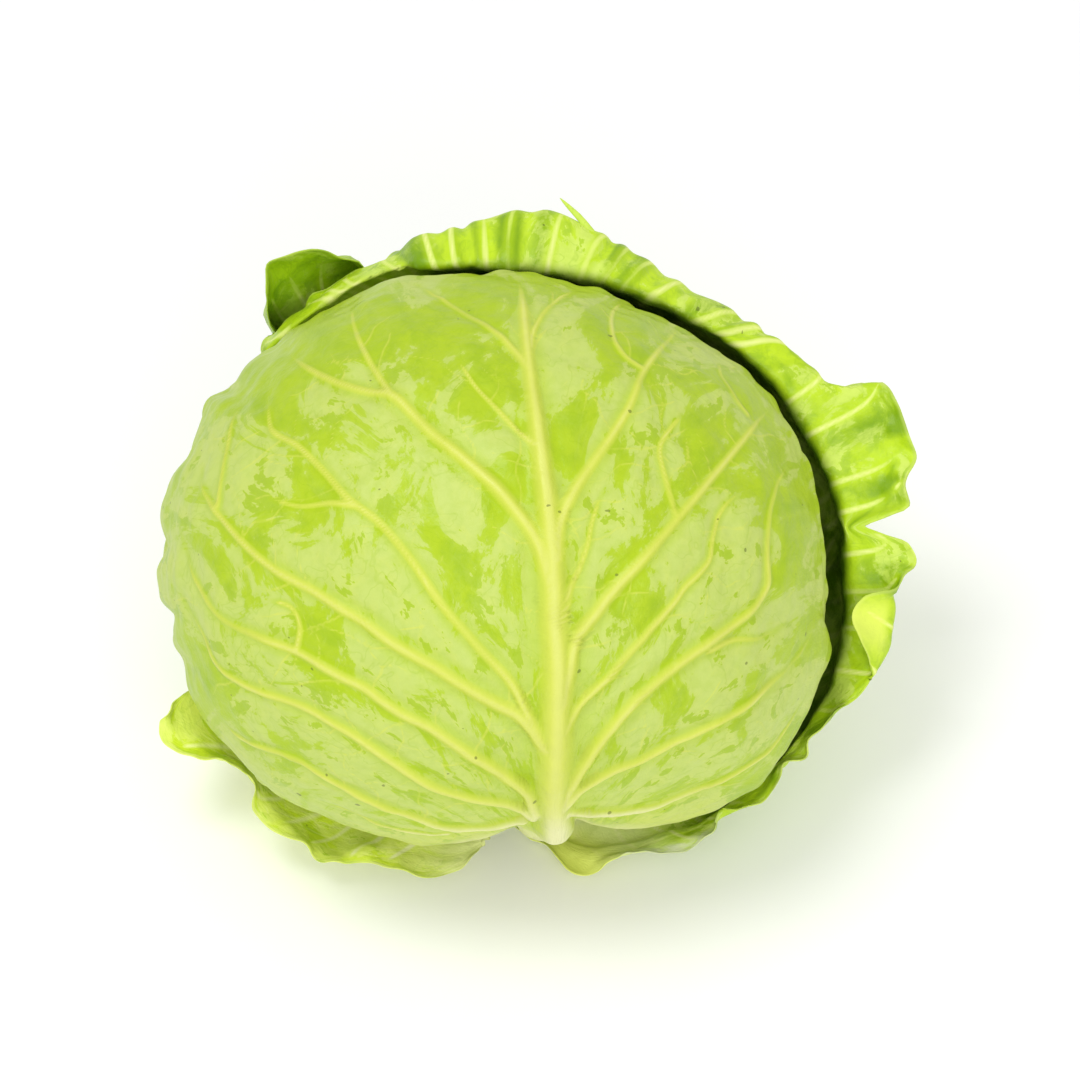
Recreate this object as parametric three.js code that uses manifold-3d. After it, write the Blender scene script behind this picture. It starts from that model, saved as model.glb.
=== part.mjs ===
// A head of flat white cabbage with its loose wrapper leaves, leaning back on the leaf that cups it.
//
// The head is laid out in a front view: x to the right, y up, z towards the viewer, with the head's
// centre at the origin. A place on the head is given by two angles: "tilt", measured from the viewer's
// direction (0 is the middle of the front, 90 the outline, 180 the back), and "turn", measured round
// that direction from the right-hand side. Lengths are millimetres and angles are degrees.
// The whole head is then leaned back to lie on the surface z = 0.
import * as THREE from "three";
import { mergeVertices } from "three/addons/utils/BufferGeometryUtils.js";
import Module from "manifold-3d";

const wasm = await Module();
wasm.setup();

// Driving dimensions.
const HEAD_HALF_WIDTH = 95.5;
const HEAD_HALF_HEIGHT = 80.5;
const HEAD_FRONT_DEPTH = 86;
const HEAD_BACK_DEPTH = 84;
const LEAF_THICKNESS = 1.2;
const MARGIN_THICKNESS = 0.8;
const LEAN = 50; // the viewer looks down at the front from this far above the horizon
const REST_DEPTH = 86.2; // from the head's centre to the wrapper leaf's middle where it is pressed flat
const PRESS_SOFTNESS = 1.5;

// Where the inner head's skin and each leaf's middle surface lie above the head's outline.
const INNER_LIFT = -0.9;
const LEFT_LEAF_LIFT = 0.9;
const RIGHT_LEAF_LIFT = 2.9;
const FRONT_LEAF_LIFT = 6.8;
const WRAPPER_LIFT = 6.6;
const UPPER_LEAF_LIFT = 9.6;
const LOWER_LEAF_LIFT = 13.2;

// The front view is drawn as seen from 1 m away, in units of 0.31 mm counted right and down from its
// top left corner.
const VIEW_UNIT = 0.31;
const EYE_DISTANCE = 1000;
const VIEW_MIDDLE = [540, 540];
const HEAD_MIDDLE = [495, 558];
const HEAD_X = (HEAD_MIDDLE[0] - VIEW_MIDDLE[0]) * VIEW_UNIT;
const HEAD_Y = (VIEW_MIDDLE[1] - HEAD_MIDDLE[1]) * VIEW_UNIT;

const rad = THREE.MathUtils.degToRad;
const { lerp, smoothstep, clamp } = THREE.MathUtils;
const vec = (x, y, z) => new THREE.Vector3(x, y, z);
const DOWN = vec(0, -Math.cos(rad(LEAN)), -Math.sin(rad(LEAN)));

// A smooth curve through [x, value, value, ...] knots that never overshoots them.
function curveThrough(knots, period = 0) {
  const all = period
    ? [knots.at(-1).with(0, knots.at(-1)[0] - period), ...knots, knots[0].with(0, knots[0][0] + period)]
    : knots;
  const slope = (i, k) => (all[i + 1][k] - all[i][k]) / (all[i + 1][0] - all[i][0]);
  function tangent(i, k) {
    if (i === 0) return slope(0, k);
    if (i === all.length - 1) return slope(i - 1, k);
    const [a, b] = [slope(i - 1, k), slope(i, k)];
    return a * b <= 0 ? 0 : (2 * a * b) / (a + b);
  }
  return (angle) => {
    let x = angle;
    if (period) x = all[1][0] + ((((angle - all[1][0]) % period) + period) % period);
    x = clamp(x, all[0][0], all.at(-1)[0]);
    let i = all.findIndex((knot, n) => n > 0 && x <= knot[0]) - 1;
    if (i < 0) i = 0;
    const step = all[i + 1][0] - all[i][0];
    const t = (x - all[i][0]) / step;
    return all[i].slice(1).map((value, n) => {
      const k = n + 1;
      const [m0, m1] = [tangent(i, k) * step, tangent(i + 1, k) * step];
      const end = all[i + 1][k];
      return (
        value * (2 * t ** 3 - 3 * t ** 2 + 1) +
        m0 * (t ** 3 - 2 * t ** 2 + t) +
        end * (3 * t ** 2 - 2 * t ** 3) +
        m1 * (t ** 3 - t ** 2)
      );
    });
  };
}

// How far round from one turn to another, between -180 and 180.
const turnBetween = (a, b) => ((((a - b + 180) % 360) + 360) % 360) - 180;

// The tight inner head's outline: an ellipse that bulges to the lower right and lower left, and dips at
// the stem.
const OUTLINE_BULGES = [
  { turn: -33, spread: 18, height: 7.5 },
  { turn: 225, spread: 22, height: 4.5 },
  { turn: -85, spread: 12, height: -3 },
];

function headRadius(turn) {
  const [c, s] = [Math.cos(rad(turn)), Math.sin(rad(turn))];
  const ellipse = 1 / Math.hypot(c / HEAD_HALF_WIDTH, s / HEAD_HALF_HEIGHT);
  return OUTLINE_BULGES.reduce(
    (r, bulge) => r + bulge.height * Math.exp(-((turnBetween(turn, bulge.turn) / bulge.spread) ** 2)),
    ellipse,
  );
}

// Moves a point that would lie below the resting plane up onto it.
function pressed(p, lift) {
  const floor = REST_DEPTH + Math.min(lift, WRAPPER_LIFT) - WRAPPER_LIFT;
  const depth = p.dot(DOWN);
  const past = depth - floor + PRESS_SOFTNESS;
  if (past <= 0) return p;
  const kept = past >= 2 * PRESS_SOFTNESS ? floor : depth - past ** 2 / (4 * PRESS_SOFTNESS);
  return p.addScaledVector(DOWN, kept - depth);
}

// The point over the inner head at a tilt and a turn.
function onHead(tilt, turn, lift) {
  const [a, b] = [rad(tilt), rad(turn)];
  const r = (headRadius(turn) + lift) * Math.sin(a);
  const depth = tilt < 90 ? HEAD_FRONT_DEPTH : HEAD_BACK_DEPTH;
  return pressed(vec(r * Math.cos(b), r * Math.sin(b), (depth + lift) * Math.cos(a)), lift);
}

// The point at depth z that the front view shows at a turn and a radius round the head's middle.
function seenAt(turn, radius, z) {
  const scale = 1 - z / EYE_DISTANCE;
  const x = (HEAD_X + radius * Math.cos(rad(turn))) * scale - HEAD_X;
  const y = (HEAD_Y + radius * Math.sin(rad(turn))) * scale - HEAD_Y;
  return vec(x, y, z);
}

// Where the front view shows a point: its turn and radius round the head's middle.
function shownAt(p) {
  const scale = 1 - p.z / EYE_DISTANCE;
  const x = (p.x + HEAD_X) / scale - HEAD_X;
  const y = (p.y + HEAD_Y) / scale - HEAD_Y;
  return { turn: THREE.MathUtils.radToDeg(Math.atan2(y, x)), radius: Math.hypot(x, y) };
}

// A place in view units as a turn and a radius round the head's middle.
function viewPlace([right, down]) {
  const x = (right - HEAD_MIDDLE[0]) * VIEW_UNIT;
  const y = (HEAD_MIDDLE[1] - down) * VIEW_UNIT;
  return { turn: THREE.MathUtils.radToDeg(Math.atan2(y, x)), radius: Math.hypot(x, y) };
}

// Sheets of points, and solids made from them.

// Joins rows of points into triangles. Closed rows run all the way round, and a pole is one point that
// row 0 shares.
function sheetOf(rows, { closed = false, pole = null } = {}) {
  const points = rows.flat();
  const triangles = [];
  const width = rows[0].length;
  const last = closed ? width : width - 1;
  for (let j = 0; j < rows.length - 1; j++)
    for (let i = 0; i < last; i++) {
      const next = (i + 1) % width;
      const [a, b, c, d] = [j * width + i, j * width + next, (j + 1) * width + next, (j + 1) * width + i];
      triangles.push([a, c, b], [a, d, c]);
    }
  if (pole) {
    points.push(pole);
    for (let i = 0; i < width; i++) triangles.push([points.length - 1, i, (i + 1) % width]);
  }
  return { points, triangles };
}

function vertexNormals({ points, triangles }) {
  const normals = points.map(() => vec(0, 0, 0));
  for (const [a, b, c] of triangles) {
    const ab = points[b].clone().sub(points[a]);
    const ac = points[c].clone().sub(points[a]);
    const normal = ab.cross(ac);
    for (const i of [a, b, c]) normals[i].add(normal);
  }
  return normals.map((n) => n.normalize());
}

// A closed geometry around a sheet, half its thickness to each side of it.
function thicken(sheet, thicknessAt) {
  const { points, triangles } = sheet;
  const normals = vertexNormals(sheet);
  const count = points.length;
  const moved = (i, distance) => points[i].clone().addScaledVector(normals[i], distance);
  const side = (sign) => points.map((p, i) => moved(i, (sign * thicknessAt(i)) / 2));
  const corners = [...side(1), ...side(-1)];
  const faces = triangles.flatMap(([a, b, c]) => [[a, b, c], [c + count, b + count, a + count]]);
  const edges = new Set(triangles.flatMap(([a, b, c]) => [`${a},${b}`, `${b},${c}`, `${c},${a}`]));
  for (const edge of edges) {
    const [a, b] = edge.split(",").map(Number);
    if (!edges.has(`${b},${a}`)) faces.push([b, a, a + count], [b, a + count, b + count]);
  }
  return geometryOf(corners, faces);
}

function geometryOf(points, faces) {
  const geometry = new THREE.BufferGeometry().setFromPoints(points);
  return geometry.setIndex(faces.flat());
}

// A closed geometry as a manifold solid.
function solidOf(geometry) {
  const bare = geometry.clone().deleteAttribute("normal").deleteAttribute("uv");
  const merged = mergeVertices(bare, 1e-5);
  const mesh = new wasm.Mesh({
    numProp: 3,
    vertProperties: new Float32Array(merged.attributes.position.array),
    triVerts: new Uint32Array(merged.index.array),
  });
  return new wasm.Manifold(mesh);
}

function geometryFrom(solid) {
  const mesh = solid.getMesh();
  const geometry = new THREE.BufferGeometry();
  geometry.setAttribute("position", new THREE.BufferAttribute(mesh.vertProperties, 3));
  return geometry.setIndex(new THREE.BufferAttribute(mesh.triVerts, 1));
}

// The largest of the bodies that a solid falls into.
function largest(solid) {
  return solid.decompose().reduce((a, b) => (a.volume() >= b.volume() ? a : b));
}

// A raised rib along a route over a surface. Its section is a low arch whose foot is sunk in the leaf.
const RIB_SECTION = [
  [-0.5, 0],
  [-0.22, 1],
  [0.22, 1],
  [0.5, 0],
];
const RIB_FOOT = 0.7;

function ribSolid(surface, { route, width, height, steps }) {
  const path = new THREE.CatmullRomCurve3(route.map(([u, v]) => vec(u, v, 0)), false, "centripetal");
  const places = path.getSpacedPoints(steps ?? Math.round(1.3 * (route.length - 1)));
  const centres = places.map((place) => surface(place.x, place.y));
  const corners = [];
  centres.forEach(({ point, normal }, i) => {
    const before = centres[Math.max(i - 1, 0)].point;
    const after = centres[Math.min(i + 1, centres.length - 1)].point;
    const across = normal.clone().cross(after.clone().sub(before)).normalize();
    const share = i / (centres.length - 1);
    const [w, h] = [lerp(...width, share), lerp(...height, share)];
    for (const [x, y] of RIB_SECTION) {
      const up = y * (h + RIB_FOOT) + LEAF_THICKNESS / 2 - RIB_FOOT;
      corners.push(point.clone().addScaledVector(across, x * w).addScaledVector(normal, up));
    }
  });
  const n = RIB_SECTION.length;
  const faces = [];
  for (let j = 0; j < centres.length - 1; j++)
    for (let i = 0; i < n; i++) {
      const [a, b] = [j * n + i, j * n + ((i + 1) % n)];
      faces.push([a, b, b + n], [a, b + n, a + n]);
    }
  const end = (centres.length - 1) * n;
  for (let i = 1; i < n - 1; i++) faces.push([0, i + 1, i], [end, end + i, end + i + 1]);
  const solid = solidOf(geometryOf(corners, faces));
  return solid.volume() > 0 ? solid : solidOf(geometryOf(corners, faces.map((f) => f.toReversed())));
}

// The cut stem, which every leaf grows from.
const STEM_LENGTH = 26;
const STEM_CUT_RADIUS = 10;
const STEM_ROOT_RADIUS = 13;
const STEM_END = vec(15.6, -83.2, -14);
const STEM_AXIS = vec(0.12, -0.985, -0.12).normalize();
const STEM_CLEARANCE = 0.3;

function stemGeometry(clearance) {
  const profile = [
    [0, -STEM_LENGTH - clearance],
    [STEM_ROOT_RADIUS + clearance, -STEM_LENGTH - clearance],
    [STEM_CUT_RADIUS + 1.4 + clearance, -9],
    [STEM_CUT_RADIUS + clearance, -1.2],
    [STEM_CUT_RADIUS - 1 + clearance, clearance],
    [0, clearance],
  ];
  const lathe = new THREE.LatheGeometry(profile.map(([x, y]) => new THREE.Vector2(x, y)), 16);
  const turned = new THREE.Quaternion().setFromUnitVectors(vec(0, 1, 0), STEM_AXIS);
  return lathe.applyQuaternion(turned).translate(...STEM_END);
}
const stemKeepOut = solidOf(stemGeometry(STEM_CLEARANCE));

// Everything below the resting plane.
const GROUND_DEPTH = 40;
const ground = solidOf(
  new THREE.BoxGeometry(400, 400, GROUND_DEPTH)
    .applyQuaternion(new THREE.Quaternion().setFromUnitVectors(vec(0, 0, -1), DOWN))
    .translate(...DOWN.clone().multiplyScalar(REST_DEPTH + LEAF_THICKNESS / 2 + GROUND_DEPTH / 2)),
);

function leafGeometry(sheet, thicknessAt, ribs) {
  let solid = solidOf(thicken(sheet, thicknessAt));
  for (const rib of ribs) solid = solid.add(rib);
  return geometryFrom(largest(solid.subtract(stemKeepOut).subtract(ground)));
}

// The front leaf, whose margin and veins are read off the front view.

const FRONT_MARGIN = [
  [165, 595], [180, 615], [178, 640], [190, 660], [195, 690], [206, 710], [228, 738], [255, 768],
  [290, 795], [330, 812], [380, 830], [430, 838], [480, 831], [518, 818], [530, 828], [556, 833],
  [566, 826], [573, 809], [600, 816], [640, 821], [690, 814], [730, 796], [765, 766], [790, 731],
  [812, 690], [824, 650], [818, 612], [820, 560], [815, 505], [800, 458], [771, 405], [745, 376],
  [700, 345], [650, 318], [590, 291], [550, 280], [510, 276], [480, 278], [440, 279], [395, 283],
  [345, 306], [300, 334], [282, 348], [250, 370], [235, 393], [213, 404], [204, 430], [197, 455],
  [178, 480], [168, 514], [175, 545], [163, 570],
];
const frontMarginKnots = FRONT_MARGIN.map(viewPlace)
  .map(({ turn, radius }) => [turn, radius])
  .sort((a, b) => a[0] - b[0]);
const frontMarginRadius = curveThrough(frontMarginKnots, 360);

// The tilt at which the front leaf ends: past the outline at the sides, short of it at the top right.
const frontMarginTilt = curveThrough(
  [[-150, 90], [-85, 93], [-40, 89], [20, 84], [60, 83], [100, 85], [160, 88]],
  360,
);
const FRONT_RUFFLE = 1.6;
const FRONT_RUFFLE_RIGHT = 0.7;

function frontPoint(a, b) {
  const share = Math.hypot(a, b);
  const turn = THREE.MathUtils.radToDeg(Math.atan2(b, a));
  const [marginTilt] = frontMarginTilt(turn);
  const [marginRadius] = frontMarginRadius(turn);
  const p = onHead(share * marginTilt, turn, FRONT_LEAF_LIFT);
  const edge = onHead(marginTilt, turn, FRONT_LEAF_LIFT);
  const height = lerp(FRONT_RUFFLE_RIGHT, FRONT_RUFFLE, smoothstep(Math.abs(turn), 60, 150));
  const ruffle = height * Math.sin(rad(turn * 23));
  const target = seenAt(turn, marginRadius, edge.z + ruffle);
  return p.add(target.sub(edge).multiplyScalar(smoothstep(share, 0.62, 1)));
}

// A surface's point and outward normal at two parameters.
function probe(pointAt, u, v, step = 1e-3) {
  const point = pointAt(u, v);
  const du = pointAt(u + step, v).sub(pointAt(u - step, v));
  const dv = pointAt(u, v + step).sub(pointAt(u, v - step));
  return { point, normal: du.cross(dv).normalize() };
}
const frontSurface = (a, b) => probe(frontPoint, a, b);

// The front leaf's own coordinates of a place in the front view.
function frontPlace(place) {
  const wanted = viewPlace(place);
  let turn = wanted.turn;
  let share = 0.5;
  for (let pass = 0; pass < 6; pass++) {
    let [low, high] = [0, 1];
    for (let step = 0; step < 16; step++) {
      share = (low + high) / 2;
      const shown = shownAt(frontPoint(share * Math.cos(rad(turn)), share * Math.sin(rad(turn))));
      if (shown.radius < wanted.radius) low = share;
      else high = share;
    }
    const shown = shownAt(frontPoint(share * Math.cos(rad(turn)), share * Math.sin(rad(turn))));
    turn += turnBetween(wanted.turn, shown.turn);
  }
  return [share * Math.cos(rad(turn)), share * Math.sin(rad(turn))];
}

const MIDRIB = {
  width: [9.5, 1.8],
  height: [4.2, 0.8],
  route: [
    [555, 829], [554, 790], [556, 720], [556, 654], [553, 600], [546, 500], [539, 448], [529, 368], [517, 281],
  ],
};
const MAJOR = { width: [4.6, 1.5], height: [2.0, 0.5] };
const MINOR = { width: [2.4, 1.2], height: [1.0, 0.4] };
const FRONT_VEINS = [
  MIDRIB,
  { ...MINOR, route: [[534, 400], [527, 370], [503, 340], [464, 313], [417, 288]] },
  {
    ...MAJOR,
    route: [[551, 610], [540, 551], [498, 491], [464, 460], [432, 434], [393, 398], [349, 388], [292, 350]],
  },
  { ...MINOR, route: [[393, 398], [372, 366], [357, 334], [354, 312]] },
  { ...MINOR, route: [[543, 740], [512, 683], [461, 627], [432, 590], [380, 523], [323, 470], [273, 431]] },
  { ...MAJOR, route: [[548, 750], [496, 702], [421, 659], [349, 611], [279, 571], [225, 520], [206, 470]] },
  { ...MINOR, route: [[221, 507], [228, 462], [236, 415], [247, 379]] },
  {
    ...MAJOR,
    route: [[541, 806], [499, 769], [435, 729], [368, 689], [298, 651], [228, 619], [194, 571], [186, 530]],
  },
  { ...MAJOR, route: [[540, 818], [480, 796], [408, 769], [349, 729], [279, 697], [215, 657], [184, 602]] },
  { ...MAJOR, route: [[530, 818], [488, 822], [448, 823], [368, 796], [301, 761], [239, 734], [208, 700]] },
  { ...MINOR, route: [[531, 350], [541, 319], [560, 301], [579, 290]] },
  {
    ...MAJOR, width: [4, 1.5],
    route: [[556, 565], [571, 496], [611, 437], [641, 376], [659, 351], [678, 331]],
  },
  { ...MINOR, route: [[563, 620], [579, 568], [591, 523], [603, 491]] },
  { ...MAJOR, route: [[560, 705], [579, 632], [627, 574], [678, 516], [729, 456], [769, 408]] },
  { ...MINOR, route: [[563, 728], [606, 678], [649, 630], [683, 587], [707, 560], [722, 507], [747, 488]] },
  {
    ...MAJOR,
    route: [[560, 802], [600, 737], [654, 683], [707, 643], [756, 603], [764, 555], [775, 482], [788, 464]],
  },
  { ...MAJOR, route: [[562, 812], [608, 769], [670, 742], [740, 707], [791, 667], [812, 620]] },
  { ...MAJOR, route: [[566, 812], [611, 810], [646, 806], [716, 780], [766, 750], [805, 692]] },
];

const FRONT_RINGS = [0.12, 0.24, 0.36, 0.48, 0.6, 0.71, 0.81, 0.91, 1];

function frontLeaf() {
  const turns = frontMarginKnots.map(([turn]) => turn);
  const rows = FRONT_RINGS.map((share) =>
    turns.map((turn) => frontPoint(share * Math.cos(rad(turn)), share * Math.sin(rad(turn)))),
  );
  const sheet = sheetOf(rows, { closed: true, pole: frontPoint(0, 0) });
  const marginStart = (FRONT_RINGS.length - 2) * turns.length;
  const isMargin = (i) => i >= marginStart && i < rows.length * turns.length;
  const thicknessAt = (i) => (isMargin(i) ? MARGIN_THICKNESS : LEAF_THICKNESS);
  const placed = FRONT_VEINS.map((vein) => ({ ...vein, route: vein.route.map(frontPlace) }));
  const ribs = placed.map((vein) => ribSolid(frontSurface, vein));
  return leafGeometry(sheet, thicknessAt, ribs);
}

// Leaves that lie round the head. Each is a row of profiles, one at each turn, through a few knots.

// The point a share v of the way along a profile through knots.
function alongKnots(knots, v) {
  const x = clamp(v, 0, 1) * (knots.length - 1);
  const i = Math.min(Math.floor(x), knots.length - 2);
  const t = x - i;
  const at = (k) => knots[clamp(k, 0, knots.length - 1)];
  const [p0, p1, p2, p3] = [at(i - 1), at(i), at(i + 1), at(i + 2)];
  const axis = (k) =>
    0.5 *
    (2 * p1[k] +
      (p2[k] - p0[k]) * t +
      (2 * p0[k] - 5 * p1[k] + 4 * p2[k] - p3[k]) * t ** 2 +
      (3 * p1[k] - p0[k] - 3 * p2[k] + p3[k]) * t ** 3);
  return vec(axis("x"), axis("y"), axis("z"));
}

function roundLeaf({ turns, shares, profileAt, closed = false, pole = null, ribs, sprigs = [] }) {
  const profiles = turns.map(profileAt);
  const rows = shares.map((v) => profiles.map((knots) => alongKnots(knots, v)));
  const sheet = sheetOf(rows, { closed, pole });
  const surface = (turn, v) => probe((a, b) => alongKnots(profileAt(a), b), turn, v);
  const thicknessAt = (i) => {
    const row = Math.floor(i / turns.length);
    const atEnd = !closed && (i % turns.length === 0 || i % turns.length === turns.length - 1);
    const atMargin = row === shares.length - 1 || (!closed && row === 0) || atEnd;
    return atMargin && row < shares.length ? MARGIN_THICKNESS : LEAF_THICKNESS;
  };
  return leafGeometry(sheet, thicknessAt, [...ribs.map((rib) => ribSolid(surface, rib)), ...sprigs]);
}

// Numbers from a to b in equal steps.
const spaced = (a, b, count) => Array.from({ length: count }, (_, i) => lerp(a, b, i / (count - 1)));

// The big wrapper leaf that cups the head from behind. Its rim, from the stem round by the right to the
// upper left, is read off the front view: [turn, radius, z]. The rim rolls outwards at the top and opens
// in two lobes on the right, with a corner folded over towards the head below them.
const RIM_WALL = curveThrough([
  [-84, 80, -46], [-78, 85, -40], [-72, 91, -34], [-60, 97, -30], [-45, 105, -28], [-30, 108.2, -27],
  [-15, 108, -25], [0, 105, -23], [15, 102.8, -21], [28, 99, -19], [45, 93.8, -16], [60, 90, -14],
  [75, 88, -13], [90, 87.6, -13], [107, 91, -17], [125, 93.5, -22], [137, 95, -24],
]);
const RIM_CREST = curveThrough([
  [-84, 81.5, -42], [-78, 88, -36], [-72, 95, -28], [-60, 99.5, -24], [-45, 106.5, -20], [-30, 109.3, -17],
  [-15, 112, -11], [0, 109, -6], [9, 108, -4], [18, 105.5, -3], [26, 103.6, -1], [31, 102.4, 1], [37, 100.4, 3],
  [49, 96.3, 6], [61, 93.6, 7], [72, 91.6, 7.5], [84, 90.2, 8], [98, 91, 6.5], [104, 92.4, 5], [108, 94.4, -1],
  [115, 94.8, -3], [125, 94.6, -6], [137, 95.2, -12],
]);
const RIM_TURN = curveThrough([
  [-84, 83, -38], [-78, 91, -32], [-72, 97.5, -25], [-60, 102, -21], [-45, 108, -17], [-30, 110.5, -14],
  [-25, 114.5, -9], [-18, 120.5, -5], [-12, 125, -3], [-9, 124.6, -3], [-6, 123.5, -4], [-3, 121, -5],
  [0, 121, -5], [2.5, 118, -5], [5, 110.5, -6], [7.5, 119, -4], [15, 123, -3], [24, 122, -2], [29, 115, -1],
  [31, 113.8, -2], [37, 110.7, -2], [46, 105.5, -2], [60, 102.9, -2], [66, 103.4, -2], [72, 105, -1],
  [78, 108.5, -1], [84, 107.8, -1], [91, 105, -1], [98, 102.4, -2], [104, 101.8, -3], [108, 98.6, -8],
  [115, 97.8, -9], [125, 97.4, -12], [137, 96.2, -16],
]);
const RIM_MARGIN_KNOTS = [
  [-84, 84.5, -34], [-80, 90, -30], [-77, 99, -24], [-75, 101.3, -22], [-72, 101.9, -21], [-66, 98.5, -19],
  [-60, 105.5, -18], [-57, 108, -17], [-52, 108.7, -15], [-49, 107, -14], [-46, 109.4, -13], [-42, 112.4, -12],
  [-36, 110.9, -11], [-31.5, 111.5, -10], [-25, 116.1, -7], [-18, 122.2, -4], [-15, 119.5, 1], [-12, 115, 4],
  [-9, 112, 4], [-6, 115, 3], [-4.4, 123.5, 1], [-2.7, 127.2, 0], [0, 130, -1], [2, 128, -3], [3.7, 119.6, -5],
  [5, 115, -6], [6, 123, -5], [7.3, 129.7, -3], [9.8, 129, -2], [13.8, 134, 0], [20, 133.7, -1], [24.6, 132.1, -3],
  [26.6, 121.2, -6], [28.5, 113, -8], [31, 110.5, -9], [37, 107, -10], [46, 101.5, -11], [60, 98.5, -12],
  [72, 99.5, -12], [84, 101, -12], [98, 98.5, -13], [104, 98.2, -14], [108, 98.4, -15], [115, 98.2, -18],
  [125, 98.2, -20], [137, 97, -23],
];
const RIM_MARGIN = curveThrough(RIM_MARGIN_KNOTS);

// How much of the rim at a turn is the part that the front view shows.
function rimShown(turn) {
  const t = turnBetween(turn, 26);
  return smoothstep(t, -121, -110) * (1 - smoothstep(t, 111, 128));
}

// The wrapper leaf's profile at a turn, from the middle of the back out to its margin.
const HIDDEN_RIM = [
  { tilt: 137, lift: 0 },
  { tilt: 133, lift: 0.1 },
  { tilt: 130, lift: 0.3 },
  { tilt: 127, lift: 0.6 },
];
const VISIBLE_WALL_TILT = 107;
const BACK_KNOTS = 5;

function wrapperProfile(turn) {
  const shown = rimShown(turn);
  const round = turnBetween(turn, 26) + 26;
  const wallTilt = lerp(HIDDEN_RIM[0].tilt, VISIBLE_WALL_TILT, shown);
  const back = spaced(180, wallTilt, BACK_KNOTS + 1)
    .slice(0, -1)
    .map((tilt) => onHead(tilt, turn, WRAPPER_LIFT));
  const rim = [RIM_WALL, RIM_CREST, RIM_TURN, RIM_MARGIN].map((curve, k) => {
    const hidden = onHead(HIDDEN_RIM[k].tilt, turn, WRAPPER_LIFT + HIDDEN_RIM[k].lift);
    const [radius, z] = curve(round);
    return hidden.lerp(seenAt(turn, radius, z), shown);
  });
  return [...back, ...rim];
}

const WRAPPER_SHARES = [0.12, 0.25, 0.38, 0.5, 0.59, 0.66, 0.72, 0.78, 0.84, 0.89, 0.945, 1];
const LATERAL = { width: [4.4, 1.5], height: [1.4, 0.5] };
const WRAPPER_RIBS = [
  {
    width: [10, 2.5], height: [3.2, 1.2], steps: 14,
    route: [[-76, 0.6], [-62, 0.5], [-42, 0.4], [-12, 0.26], [30, 0.24], [55, 0.4], [66, 0.56], [70, 0.66]],
  },
  { ...LATERAL, route: [[-66, 0.53], [-50, 0.56], [-36, 0.6], [-22, 0.66]] },
  { ...LATERAL, route: [[-50, 0.44], [-30, 0.46], [-12, 0.52], [0, 0.6], [6, 0.68]] },
  { ...LATERAL, route: [[-14, 0.27], [2, 0.34], [14, 0.44], [20, 0.56], [22, 0.68]] },
  { ...LATERAL, route: [[22, 0.24], [36, 0.36], [42, 0.48], [44, 0.62]] },
  { ...LATERAL, route: [[-66, 0.53], [-84, 0.46], [-108, 0.42], [-128, 0.44], [-140, 0.52]] },
  { ...LATERAL, route: [[-46, 0.42], [-80, 0.3], [-120, 0.28], [-150, 0.36], [-160, 0.5]] },
  { ...LATERAL, route: [[34, 0.26], [80, 0.2], [112, 0.28], [124, 0.42], [128, 0.56]] },
  { ...LATERAL, route: [[56, 0.41], [78, 0.42], [92, 0.5], [98, 0.62]] },
];

// A small pointed sprig that stands up from the roll's top, drawn in the front view.
const SPRIG_DEPTH = -1.2;
const SPRIG = {
  width: [2.6, 0.9], height: [0.9, 0.3], steps: 4,
  route: [[596, 242], [584, 223], [573, 211], [560, 198]],
};

function sprigSurface(right, down) {
  const { turn, radius } = viewPlace([right, down]);
  return { point: seenAt(turn, radius, SPRIG_DEPTH), normal: vec(0, 0, 1) };
}

function wrapperLeaf() {
  const shownTurns = RIM_MARGIN_KNOTS.map(([turn]) => turn);
  const turns = [...shownTurns, ...spaced(146, 266, 9)];
  return roundLeaf({
    turns,
    shares: WRAPPER_SHARES,
    profileAt: wrapperProfile,
    closed: true,
    pole: onHead(180, 0, WRAPPER_LIFT),
    ribs: WRAPPER_RIBS,
    sprigs: [ribSolid(sprigSurface, SPRIG)],
  });
}

// Two leaves of the tight head, seen beside and behind the front leaf. Each runs from the stem round one
// side and over the crown: its tilt at the middle, and its reach to each side, at a share of its length.
const sideLeafWidth = curveThrough([[0, 9], [0.12, 20], [0.35, 33], [0.75, 34], [0.93, 20], [1, 7]]);
const sideLeafMiddle = curveThrough([[0, 102], [0.3, 113], [0.7, 110], [1, 104]]);

function sideLeaf({ from, to, lift, ribs }) {
  const profileAt = (turn) => {
    const share = clamp((turn - from) / (to - from), 0, 1);
    const [middle] = sideLeafMiddle(share);
    const [reach] = sideLeafWidth(share);
    return spaced(middle + reach, middle - reach, 6).map((tilt) => onHead(tilt, turn, lift));
  };
  const turns = spaced(from, to, 18);
  if (to < from) turns.reverse();
  return roundLeaf({ turns, shares: spaced(0, 1, 8), profileAt, ribs });
}

// Side veins that leave a leaf's midrib in pairs, for a leaf whose length runs from one turn to another.
function pairedVeins(from, to, shares, { reach, ahead, width, height }) {
  return shares.flatMap((share) =>
    [-1, 1].map((side) => {
      const turn = lerp(from, to, share);
      const step = (to - from) * ahead;
      const route = [0, 0.4, 0.75, 1].map((out) => [turn + step * out ** 1.4, 0.5 + side * reach * out]);
      return { width, height, route, steps: 4 };
    }),
  );
}

const SIDE_VEINS = { reach: 0.42, ahead: 0.14, width: [2.8, 1], height: [0.5, 0.3] };
const SIDE_SHARES = [0.2, 0.48];

function sideRibs(from, to, height) {
  const route = spaced(0.02, 0.68, 7).map((share) => [lerp(from, to, share), 0.5]);
  const midrib = { width: [8, 2], height: [height, 0.5], steps: 9, route };
  return [midrib, ...pairedVeins(from, to, SIDE_SHARES, SIDE_VEINS)];
}

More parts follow.
